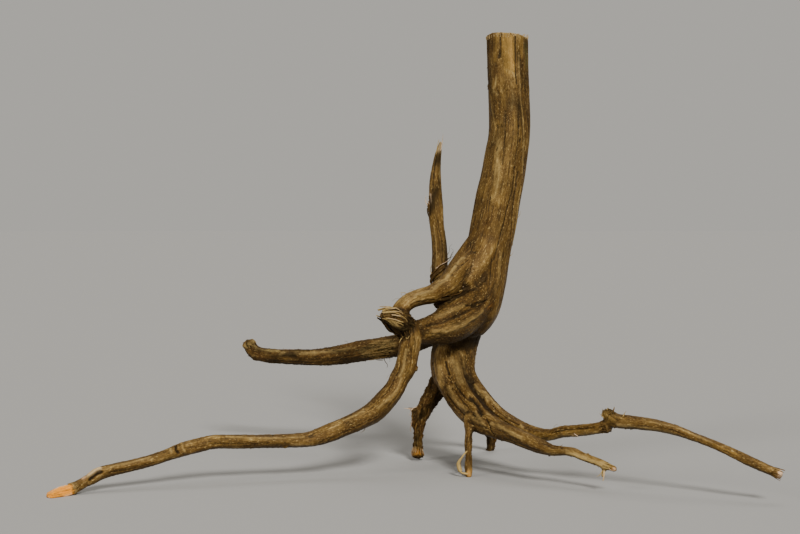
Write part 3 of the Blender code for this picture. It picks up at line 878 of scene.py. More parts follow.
        Mark(((162, 34), (170, 10), (174, -20), (178, -44)), 1.5, 1.8, dark=0.85),
        # a pale streak painted as the highlight on the rounded tongue
        Mark(((172, 30), (186, 24), (204, 12), (222, 4)), 3.4, -0.9, 1, 0.8, straw=0.36, polish=0.6),
        Mark(((193, -50), (218, -46), (243, -30)), 1, 0.8, dark=0.6),
        Mark(((282, -20), (304, -20), (330, -20)), 9, 0, 0.9, 0.5, bare=1, polish=0.8),
        Mark(((276, -30), (300, -24), (326, -24)), 6, -0.3, 0.9, 0.6, straw=0.95, polish=0.6),
        # the split tip and the splinter that hangs from it
        Mark(((335, 0), (338, 0)), 3, 0.2, 0.5, 0.6, pink=0.7, raw=0.4),
        Mark(((320, -20), (334, -20)), 0.8, 1.2, dark=0.9),
    ),
    Limb.LEFT_LEG: (
        # painted shade: a dark band at its top, in the hollow under the elbow
        Mark(((4, -90), (6, 0), (4, 90)), 14, 0, 0.6, 0.3, dark=0.9),
        # the ragged knob
        Mark(((56, -36), (62, -20)), 3, 1.4, dark=0.9), Mark(((69, -4), (72, 4)), 3, 2.2, dark=1, red=0.8),
        Mark(((58, -4), (64, 20)), 2.4, -1.2, red=0.5), Mark(((80, 20), (94, 30)), 1, 0.9, dark=0.7),
        Mark(((84, -20), (104, -14)), 1.6, -0.7, straw=0.3),
        Mark(((114, 0), (115, 120), (115, -120)), 5, 0.4, 0.8, 0.6, bare=0.9, raw=0.45, red=0.4),
    ),
    Limb.HANGING_SPLINTER: (
        # the split tip and the splinter that hangs from it
        Mark(((3, 0), (16, 0)), 9, 0, 0.3, straw=0.9),
    ),
    Limb.RIGHT_ROOT: (
        # ridges, grooves, crumbly patches, a hole and pale streaks along it, and a ringed groove at its end
        Mark(((52, 30), (70, 30), (88, 34)), 4, -1.2, straw=0.25),
        # a pale streak painted as a highlight, on glossier wood
        Mark(((70, 50), (84, 54), (104, 56)), 3.2, -0.5, 1, 0.8, straw=0.4, polish=0.8),
        Mark(((60, 8), (90, 10), (120, 14), (146, 10)), 1.2, 1.4, dark=0.8),
        Mark(((100, 36), (126, 32), (150, 36)), 1, 1, dark=0.6),
        Mark(((152, 40), (156, 30)), 3, -1.5, scurf=0.6, straw=0.4),
        Mark(((158, 10), (164, 20)), 2.6, -1.2, scurf=0.6), Mark(((168, -6), (172, -2)), 2.6, 2.2, dark=1),
        Mark(((198, 0), (204, 60), (206, 110)), 1, 0.8, dark=0.8),
        Mark(((206, 10), (212, 60)), 0.8, 0.7, dark=0.7),
        Mark(((192, 20), (212, 40)), 8, 0, 0.8, 0.5, scurf=0.6, crackle=0.8),
        Mark(((214, 30), (240, 34), (262, 24)), 0.9, 0.8, dark=0.6),
        Mark(((196, -34), (226, -40), (264, -36)), 3.4, -0.3, 0.9, 0.5, straw=0.6, polish=0.7),
        Mark(((146, -14), (200, -12), (262, -14)), 6.5, 0, 1, 0.8, bare=0.55),
        Mark(((222, 4), (250, 6)), 2.4, -0.3, bare=0.5),
        Mark(((228, -40), (232, -50)), 1.8, -0.8, pink=0.7),
        Mark(((268, -90), (270, 0), (268, 90), (270, 180)), 1.2, 1, dark=0.8),
        Mark(((273, -90), (275, 0), (273, 90), (275, 180)), 2.4, -1.2, straw=0.25),
        Mark(((150, -40), (176, -44), (200, -40)), 2.4, -0.3, 1, 0.8, straw=0.5),
    ),
    Limb.RIGHT_KNOB: (
        # the ragged knob
        Mark(((0, 0), (18, 0)), 22, 0, 0.9, 0.5, crackle=1, scurf=0.75, green=0.25),
        Mark(((6, -70), (9, -10), (7, 50)), 1.3, 1.3, dark=0.85),
        Mark(((16, -40), (18, 30)), 2, 1.4, dark=0.7),
    ),
    Limb.RIGHT_TIP: (
        # red and pale streaks along it, a dark line, and its pale torn end
        Mark(((32, 30), (42, 36)), 5, 0.3, 0.9, red=0.7),
        Mark(((14, -30), (40, -40), (80, -44)), 3, -0.2, 0.9, 0.5, straw=0.5, polish=0.7),
        Mark(((50, 30), (90, 34), (120, 20)), 1.2, -0.4, straw=0.4),
        Mark(((60, -10), (100, -6), (140, -16)), 0.8, 0.6, dark=0.5),
        Mark(((112, 6), (130, 0), (150, 4)), 2.8, -0.2, bare=0.7, polish=1),
        Mark(((198, 0), (198, 120), (198, -120)), 4.5, 0.2, 0.3, pink=0.8, raw=0.4),
        Mark(((190, 40), (188, -40)), 1.5, 0.5, dark=0.5, red=0.5),
    ),
    Limb.FRONT_LEG: (
        # a dark line and a red ridge down it, and a pale patch at its foot
        Mark(((26, -30), (44, -60), (60, -90)), 0.9, 0.9, dark=0.7),
        Mark(((22, 10), (40, -10), (70, -20)), 1.4, -0.6, red=0.6),
        Mark(((66, 0), (72, 20)), 4, 0, 0.7, 0.6, straw=0.6, raw=0.3),
    ),
    Limb.BACK_LEG: (
        # a pale orange patch near its foot, and a dark line
        Mark(((141, 60), (146, 74)), 3, 0, 0.9, 0.6, raw=0.35, bare=0.5),
        Mark(((110, -10), (140, -20)), 1, 0.9, dark=0.7),
    ),
}  # fmt: skip


def linear(hex_colour: str) -> tuple[float, float, float, float]:
    """An sRGB hex colour such as #745A2E as a linear RGBA one."""
    parts = [int(hex_colour[i : i + 2], 16) / 255 for i in (1, 3, 5)]
    red, green, blue = (((c + 0.055) / 1.055) ** 2.4 if c > 0.04045 else c / 12.92 for c in parts)
    return red, green, blue, 1.0


def add_node(
    tree: Tree, kind: str, settings: dict[str, object] | None = None,
    sockets: dict[int | str, object] | None = None
) -> bpy.types.Node:
    """Adds a node with its settings, values and links.

    Args:
        tree: the tree that takes it.
        kind: the node's type.
        settings: properties by name; "stops" is a colour ramp's list of (place, hex colour).
        sockets: inputs by name or number, each a value, or the output or the node that feeds it.

    Returns:
        The node.
    """
    made = tree.nodes.new(kind)
    for name, value in (settings or {}).items():
        if name == "stops":
            stops = made.color_ramp.elements
            while len(stops) < len(value):
                stops.new(1.0)
            for stop, (place, colour) in zip(stops, value):
                stop.position, stop.color = place, linear(colour)
        else:
            setattr(made, name, value)
    for key, value in (sockets or {}).items():
        if isinstance(value, bpy.types.Node):
            value = value.outputs[0]
        if isinstance(value, Socket):
            tree.links.new(value, made.inputs[key])
        else:
            made.inputs[key].default_value = value
    return made


def points_of(mesh: bpy.types.Mesh) -> Array:
    """The mesh's vertices in millimetres, one row each."""
    flat = np.empty(len(mesh.vertices) * 3)
    mesh.vertices.foreach_get("co", flat)
    return flat.reshape(-1, 3) / MM


def normals_of(mesh: bpy.types.Mesh) -> Array:
    """The mesh's vertex normals, one row each."""
    flat = np.empty(len(mesh.vertices) * 3)
    mesh.vertex_normals.foreach_get("vector", flat)
    return flat.reshape(-1, 3)


def edges_of(mesh: bpy.types.Mesh) -> Array:
    """The mesh's edges as pairs of vertex numbers, one row each."""
    flat = np.empty(len(mesh.edges) * 2, dtype=np.int32)
    mesh.edges.foreach_get("vertices", flat)
    return flat.reshape(-1, 2)


def relaxed(values: Array, edges: Array, rounds: int) -> Array:
    """Values smoothed over a mesh.

    Args:
        values: one row a vertex.
        edges: the mesh's edges.
        rounds: how often each vertex moves halfway to the mean of its neighbours.

    Returns:
        The smoothed values.
    """
    count = len(values)
    near, far = edges.T
    degree = np.maximum(np.bincount(near, minlength=count) + np.bincount(far, minlength=count), 1)
    result = np.array(values, dtype=float).reshape(count, -1)
    for _ in range(rounds):
        for column in result.T:
            total = np.bincount(near, column[far], count) + np.bincount(far, column[near], count)
            column += 0.5 * (total / degree - column)
    return result.reshape(values.shape)


def store(mesh: bpy.types.Mesh, name: str, values: Array) -> None:
    """Keeps a number or a vector for each vertex as an attribute of the mesh."""
    kind, key = ("FLOAT_VECTOR", "vector") if values.ndim == 2 else ("FLOAT", "value")
    attribute = mesh.attributes.new(name, kind, "POINT")
    attribute.data.foreach_set(key, np.ascontiguousarray(values, dtype=np.float32).ravel())


def keep_above_floor(mesh: bpy.types.Mesh) -> None:
    """Flattens what dips below the floor, as a root's own weight would."""
    places = points_of(mesh)
    places[:, 2] = np.maximum(places[:, 2], 0.0)
    mesh.vertices.foreach_set("co", (places * MM).ravel())
    mesh.update()


def plain_copy(obj: bpy.types.Object, name: str) -> bpy.types.Object:
    """Replaces an object by a plain mesh of what its modifiers make.

    Args:
        obj: the object, which is removed.
        name: the new object's name.

    Returns:
        The new object.
    """
    bpy.context.view_layer.update()
    evaluated = obj.evaluated_get(bpy.context.evaluated_depsgraph_get())
    data = bpy.data.meshes.new_from_object(evaluated)
    bpy.data.objects.remove(obj, do_unlink=True)
    data.name = name
    made = bpy.data.objects.new(name, data)
    bpy.context.scene.collection.objects.link(made)
    return made


@dataclass
class Surface:
    """What a set of points carries: how far each is raised, in millimetres, and its finish."""

    height: Array
    crack: Array
    streak: Array
    tones: dict[Tone, Array]


@dataclass
class RootWood:
    """The wood: every root fused into one skin, with its grain, its marks and its bark.

    Attributes:
        coarse: voxel in millimetres of the skin whose forks are filled.
        voxel: voxel in millimetres of the skin that is carved.
        rounding: smoothing passes over everything.
        fillet: smoothing passes that fill the forks, where the skin is hollow.
        sides: points round a root before it is fused.
        triangles: left in the finished skin.
        seed: of all its noise.
    """

    coarse: float = 1.7
    voxel: float = 1.0
    rounding: int = 4
    fillet: int = 26
    sides: int = 32
    triangles: int = 192_000
    seed: int = 11

    def build(self) -> bpy.types.Object:
        """Makes the finished piece.

        Returns:
            The piece, with its grain and finish kept as attributes.
        """
        noise = Noise(self.seed)
        wood = self.remeshed(self.tubes(), self.coarse, 2)
        self.fill_forks(wood.data)
        wood = self.remeshed(wood, self.voxel, self.rounding)
        log.info("fused skin: %d faces", len(wood.data.polygons))
        self.carve(wood.data, noise)
        log.info("carved")
        wood = self.thinned(wood)
        self.dress(wood.data, noise)
        return wood

    def add_tube(self, mesh: bmesh.types.BMesh, strand: Strand) -> None:
        """Adds one closed, ridged tube to a bmesh, cut flat where the root is."""
        course = strand.course
        up = np.cross(course.tangents, course.across)
        angles = math.tau * np.arange(self.sides) / self.sides
        share = np.arange(len(course.places)) / (len(course.places) - 1)
        turned = strand.phase + math.tau * strand.twist * share
        wave = np.cos(strand.ridges * (angles[None, :] - turned[:, None]))
        out = course.radii[:, None] * (1.0 + strand.ridge_depth * wave)
        ring_points = (
            course.places[:, None, :]
            + (out * np.cos(angles))[..., None] * course.across[:, None, :]
            + (out * np.sin(angles))[..., None] * up[:, None, :]
        ) * MM
        rings = [[mesh.verts.new(point) for point in ring] for ring in ring_points]
        faces = []
        for near, far in zip(rings, rings[1:]):
            for j, k in zip(range(self.sides), (*range(1, self.sides), 0)):
                faces.append(mesh.faces.new((near[j], near[k], far[k], far[j])))
        poles = []
        for ring, end, way in ((rings[0], 0, -1.0), (rings[-1], -1, 1.0)):
            reach = way * 0.4 * course.radii[end] * course.tangents[end]
            pole = mesh.verts.new((course.places[end] + reach) * MM)
            poles.append(pole)
            for j, k in zip(range(self.sides), (*range(1, self.sides), 0)):
                faces.append(mesh.faces.new((ring[j], ring[k], pole)))
        if strand.cut:
            self.cut_flat(mesh, [v for ring in rings for v in ring] + poles, faces, strand.cut)

    @staticmethod
    def cut_flat(mesh: bmesh.types.BMesh, verts: list, faces: list, cut: Cut) -> None:
        """Cuts one tube of a bmesh along a plane and closes it."""
        edges = {edge for face in faces for edge in face.edges}
        place = Vector(cut.place) + Vector(RECENTRE)
        done = bmesh.ops.bisect_plane(
            mesh, geom=[*verts, *edges, *faces], plane_co=place * MM, plane_no=Vector(cut.facing),
            clear_outer=True,
        )  # fmt: skip
        rim = [item for item in done["geom_cut"] if isinstance(item, bmesh.types.BMEdge)]
        bmesh.ops.holes_fill(mesh, edges=rim, sides=0)

    def tubes(self) -> bpy.types.Object:
        """All the tubes in one mesh, not yet fused."""
        mesh = bmesh.new()
        for strand in STRANDS:
            self.add_tube(mesh, strand)
        bmesh.ops.recalc_face_normals(mesh, faces=mesh.faces)
        data = bpy.data.meshes.new("tubes")
        mesh.to_mesh(data)
        mesh.free()
        obj = bpy.data.objects.new("tubes", data)
        bpy.context.scene.collection.objects.link(obj)
        return obj

    @staticmethod
    def remeshed(obj: bpy.types.Object, voxel: float, passes: int) -> bpy.types.Object:
        """One even skin round everything that the object holds.

        Args:
            obj: the object, which is used up.
            voxel: the length of the skin's edges in millimetres.
            passes: smoothing passes over it.

        Returns:
            The skin.
        """
        fuse = obj.modifiers.new("fuse", "REMESH")
        fuse.mode = "VOXEL"
        fuse.voxel_size = voxel * MM
        fuse.use_smooth_shade = True
        soften = obj.modifiers.new("soften", "SMOOTH")
        soften.factor = 0.5
        soften.iterations = passes
        return plain_copy(obj, "skin")

    def fill_forks(self, mesh: bpy.types.Mesh) -> None:
        """Fills the sharp valleys where roots meet, as growing wood does."""
        places, edges = points_of(mesh), edges_of(mesh)
        for _ in range(2):
            soft = relaxed(places, edges, self.fillet)
            hollow = ((soft - places) * normals_of(mesh)).sum(axis=1)
            share = relaxed(smooth_step(hollow, 0.0, 0.5), edges, 4)
            places += share[:, None] * (soft - places)
            mesh.vertices.foreach_set("co", (places * MM).ravel())
            mesh.update()

    def carve(self, mesh: bpy.types.Mesh, noise: Noise) -> None:
        """Gives the smooth skin its ridges, cracks, knots and flat ends."""
        places, facing = points_of(mesh), normals_of(mesh)
        surface = self.surface(GrainMap(places), noise)
        for cut in (SAW, CHOP):
            way = np.array(cut.facing) / np.linalg.norm(cut.facing)
            above = (places - (np.array(cut.place) + RECENTRE)) @ way
            near = np.linalg.norm(places - (np.array(cut.place) + RECENTRE), axis=1) < 45.0
            flat = near & (np.abs(above) < 1.6) & (facing @ way > 0.75)
            surface.height[flat] *= 0.0 if cut is SAW else 0.6
        places += facing * surface.height[:, None]
        places[:, 2] = np.maximum(places[:, 2], 0.0)
        mesh.vertices.foreach_set("co", (places * MM).ravel())
        mesh.update()

    def surface(self, grain: GrainMap, noise: Noise) -> Surface:
        """What the bark, the grain and the marks do at each point.

        Args:
            grain: where the points lie.
            noise: what varies it.

        Returns:
            The heights and finishes.
        """
        marks: dict[Tone, Array] = {tone: np.zeros(grain.count) for tone in Tone}
        height = np.zeros(grain.count)
        for stretch in grain.stretches:
            own = {tone: np.zeros(len(stretch.rows)) for tone in Tone}
            for mark in MARKS.get(stretch.strand.limb, ()):
                strength = mark.strength(stretch, noise)
                height[stretch.rows] -= mark.sunk * strength * stretch.share
                for tone, share in mark.tones:
                    own[tone] = np.maximum(own[tone], share * strength)
            for tone, values in own.items():
                marks[tone][stretch.rows] += values * stretch.share
        for tone, of_skin in (
            (Tone.CRACKLE, "crackle"), (Tone.SCURF, "scurf"), (Tone.RED, "red"),
            (Tone.POLISH, "polish"), (Tone.DARK, "shade"),
        ):  # fmt: skip
            def patchy(stretch: Stretch, name: str = of_skin) -> Array:
                """The skin's own share of a tone, in patches along the grain."""
                share = getattr(stretch.strand.skin, name)
                spread = noise(stretch.grid(9.0, 26.0) + len(name))
                return np.clip(share * (1.0 + 0.9 * spread), 0.0, 1.0)

            marks[tone] = np.maximum(marks[tone], grain.blend(patchy))
        polish = 1.0 - 0.7 * marks[Tone.POLISH]
        crack = grain.blend(lambda stretch: self.cracks(stretch, noise))
        height += grain.blend(lambda stretch: self.grain_relief(stretch, noise)) * polish
        height += 0.55 * marks[Tone.SCURF] * grain.blend(lambda s: self.scales(s, noise))
        height -= 0.5 * crack
        return Surface(height, crack, grain.blend(lambda s: noise(s.grid(3.2, 48.0) + 5.0)), marks)

    @staticmethod
    def grain_relief(stretch: Stretch, noise: Noise) -> Array:
        """The height of lumps, flutes, fibres and wrinkles along one root, in millimetres."""
        mean = float(stretch.strand.course.radii.mean())
        lumps = 0.05 * min(mean, 16.0) * noise(stretch.grid(1.5 * mean, 2.6 * mean) + 1.0)
        flutes = 0.038 * min(mean, 16.0) * noise(stretch.grid(0.5 * mean, 6.0 * mean) + 2.0)
        fibres = 0.3 * noise(stretch.grid(1.7, 30.0) + 3.0)
        wrinkles = stretch.strand.skin.wrinkle * noise(stretch.grid(8.0, 2.6) + 4.0)
        return lumps + flutes + (fibres + wrinkles) * min(1.0, mean / 8.0)

    @staticmethod
    def cracks(stretch: Stretch, noise: Noise) -> Array:
        """Where one root has dried open along its grain, 0 to 1."""
        mean = float(stretch.strand.course.radii.mean())
        line = 1.0 - np.abs(noise(stretch.grid(0.5 * mean, 7.0 * mean) + 6.0)) / 0.06
        gate = smooth_step(noise(stretch.grid(mean, 4.0 * mean) + 7.0), 0.28, 0.6)
        return np.clip(line, 0.0, 1.0) * gate

    @staticmethod
    def scales(stretch: Stretch, noise: Noise) -> Array:
        """How high the crumbly bark stands on one root, about -1 to 1."""
        plates = smooth_step(noise(stretch.grid(4.0, 7.0) + 8.0), -0.05, 0.12)
        crumbs = noise(stretch.grid(2.0, 2.6) + 9.0)
        return 2.0 * plates - 1.0 + 0.9 * crumbs

    def thinned(self, wood: bpy.types.Object) -> bpy.types.Object:
        """The wood with no more triangles than it needs."""
        wood.data.calc_loop_triangles()
        thin = wood.modifiers.new("thin out", "DECIMATE")
        thin.ratio = min(1.0, self.triangles / len(wood.data.loop_triangles))
        return plain_copy(wood, "root_wood")

    def dress(self, mesh: bpy.types.Mesh, noise: Noise) -> None:
        """Keeps the grain, the tones and the wear as attributes for the finish."""
        places, edges = points_of(mesh), edges_of(mesh)
        grain = GrainMap(places)
        surface = self.surface(grain, noise)
        first, first_gap = grain.coordinates(Grain.FIRST)
        second, second_gap = grain.coordinates(Grain.SECOND)
        store(mesh, Grain.FIRST.value, first)
        store(mesh, Grain.SECOND.value, second)
        store(mesh, "grain_mix", smooth_step(first_gap - second_gap, -2.0, 2.0))
        facing = normals_of(mesh)
        # hollow: how concave the skin is, which the finish turns into painted shade in hollows and painted light on
        # ridges
        fine = ((relaxed(places, edges, 4) - places) * facing).sum(axis=1)
        broad = ((relaxed(places, edges, 40) - places) * facing).sum(axis=1)
        radius = np.maximum(grain.blend(lambda stretch: stretch.radius), 3.0)
        store(mesh, "hollow", np.clip(1.2 * fine + 0.7 * (broad + 5.0 / radius), -1.0, 1.5))
        store(mesh, "crack", surface.crack)
        store(mesh, "streak", surface.streak)
        # under: how far the skin faces down, which the finish darkens as painted shade on the undersides
        store(mesh, "under", smooth_step(-facing[:, 2], 0.0, 0.85))
        runs = [grain.blend(lambda s, axis=axis: s.strand.course.tangents[s.step, axis]) for axis in range(3)]
        store(mesh, "run", unit(np.column_stack(runs)))
        for tone, values in surface.tones.items():
            store(mesh, tone.value, relaxed(values, edges, 1))
        way = np.array(SAW.facing) / np.linalg.norm(SAW.facing)
        above = (places - (np.array(SAW.place) + RECENTRE)) @ way
        store(mesh, "sawn", smooth_step(facing @ way, 0.6, 0.9) * (above > -1.6) * (places[:, 2] > 480))
        mesh.shade_smooth()


class Recipe:
    """A Geometry Nodes tree with named inputs, which makes what repeats or follows a path."""

    def __init__(self, name: str, **inputs: str) -> None:
        """Starts the tree.

        Args:
            name: the tree's name.
            inputs: the kind of socket of each named input.
        """
        self.tree = bpy.data.node_groups.new(name, "GeometryNodeTree")
        sockets = self.tree.interface
        sockets.new_socket("Geometry", in_out="INPUT", socket_type="NodeSocketGeometry")
        self.keys = {
            label: sockets.new_socket(label, in_out="INPUT", socket_type=f"NodeSocket{kind}").identifier
            for label, kind in inputs.items()
        }
        self.finish = sockets.new_socket("Finish", in_out="INPUT", socket_type="NodeSocketMaterial").identifier
        sockets.new_socket("Geometry", in_out="OUTPUT", socket_type="NodeSocketGeometry")
        self.given = self.add("NodeGroupInput").outputs

    def add(self, kind: str, settings: dict | None = None, sockets: dict | None = None) -> bpy.types.Node:
        """Adds a node to the tree."""
        return add_node(self.tree, kind, settings, sockets)

    def close(self, geometry: Socket) -> None:
        """Ends the tree: its instances become real, smooth and get their finish."""
        real = self.add("GeometryNodeRealizeInstances", None, {0: geometry})
        smooth = self.add("GeometryNodeSetShadeSmooth", None, {0: real})
        coated = self.add(
            "GeometryNodeSetMaterial", None, {0: smooth, "Material": self.given["Finish"]}
        )
        self.add("NodeGroupOutput", None, {0: coated})

    def run(
        self, obj: bpy.types.Object, name: str, material: bpy.types.Material, **values: float
    ) -> bpy.types.Object:
        """Runs the tree on an object.

        Args:
            obj: the object, which is used up.
            name: the name of what comes out.
            material: its finish.
            values: the named inputs.

        Returns:
            A plain mesh object.
        """
        modifier = obj.modifiers.new(name, "NODES")
        modifier.node_group = self.tree
        modifier[self.finish] = material
        for label, value in values.items():
            modifier[self.keys[label]] = value
        return plain_copy(obj, name)


@dataclass(frozen=True)
class Strip:
    """A loose strip of bark or torn fibre, or a hair root.

    Attributes:
        limb: the root that carries it.
        path: (along, turn, lift) places on that root: millimetres, degrees and millimetres above it.
        thick: half its width in millimetres.
        tones: its finish.
        taper: how much thinner its free end is, 0 to 1.
    """

    limb: Limb
    path: tuple[tuple[float, float, float], ...]
    thick: float
    tones: tuple[tuple[Tone, float], ...] = ()
    taper: float = 0.7


HAIR_ROOTS = (
    # black hairs behind the bridge, beside the dead shoot
    Strip(Limb.SPIKE, ((84, -60, -1), (88, -70, 2.5), (92, -74, 3.5), (97, -76, 6)), 0.6, tones(dark=1.0)),
    Strip(Limb.SPIKE, ((88, -60, -1), (91, -72, 3.5), (92, -80, 6.5)), 0.55, tones(dark=1.0)),
    Strip(Limb.SPIKE, ((92, -60, -1), (97, -70, 2), (103, -74, 3), (106, -76, 6)), 0.4, tones(dark=1.0)),
    Strip(Limb.SPIKE, ((86, -60, -1), (94, -76, 5.5), (99, -80, 6.5), (101, -74, 4)), 0.35, tones(dark=1.0)),
    # pale hairs over the bridge
    Strip(Limb.BRIDGE, ((165, -80, -1), (167, -88, 2.5), (170, -92, 5)), 0.35, tones(straw=0.9)),
    Strip(Limb.BRIDGE, ((170, -80, -1), (170, -90, 2.5), (168, -94, 5)), 0.3, tones(straw=0.9)),
    Strip(Limb.BRIDGE, ((173, -80, -1), (176, -90, 3), (180, -92, 4)), 0.3, tones(straw=0.7)),
    Strip(Limb.BRIDGE, ((155, -76, -1), (158, -84, 1.5), (162, -86, 2)), 0.3, tones(straw=0.7)),
    # a rootlet that hangs from the back branch
    Strip(Limb.BACK_BRANCH, ((97, 70, -2), (98, 84, 3), (96, 88, 8), (98, 92, 12)), 0.55, tones(dark=0.9)),
    Strip(Limb.BACK_BRANCH, ((90, 60, -2), (91, 82, 2), (93, 90, 5)), 0.4, tones(dark=0.8, red=0.5)),
    Strip(Limb.BACK_BRANCH, ((140, -60, -1), (143, -80, 3), (147, -84, 4)), 0.35, tones(dark=0.7)),
    Strip(Limb.ELBOW, ((118, 74, -1), (116, 88, 3), (119, 94, 5)), 0.35, tones(dark=0.7)),
    Strip(Limb.LEFT_ROOT, ((60, -82, -1), (64, -90, 2), (69, -92, 3)), 0.35, tones(straw=0.6)),
    Strip(Limb.LEFT_ROOT, ((128, 80, -1), (131, 92, 2.5), (136, 94, 3)), 0.35, tones(dark=0.6)),
    Strip(Limb.RIGHT_ROOT, ((176, -70, -1), (178, -84, 3), (181, -88, 5)), 0.4, tones(red=0.6)),
    Strip(Limb.RIGHT_ROOT, ((202, 70, -1), (205, 84, 2.5), (209, 86, 3)), 0.35, tones(straw=0.5)),
    Strip(Limb.STEM, ((252, 88, -1), (248, 92, 1.8), (243, 93, 2)), 0.35, tones(straw=0.6)),
    Strip(Limb.STEM, ((300, 84, -1), (296, 90, 1.8), (292, 92, 2.6)), 0.35, tones(straw=0.6)),
)
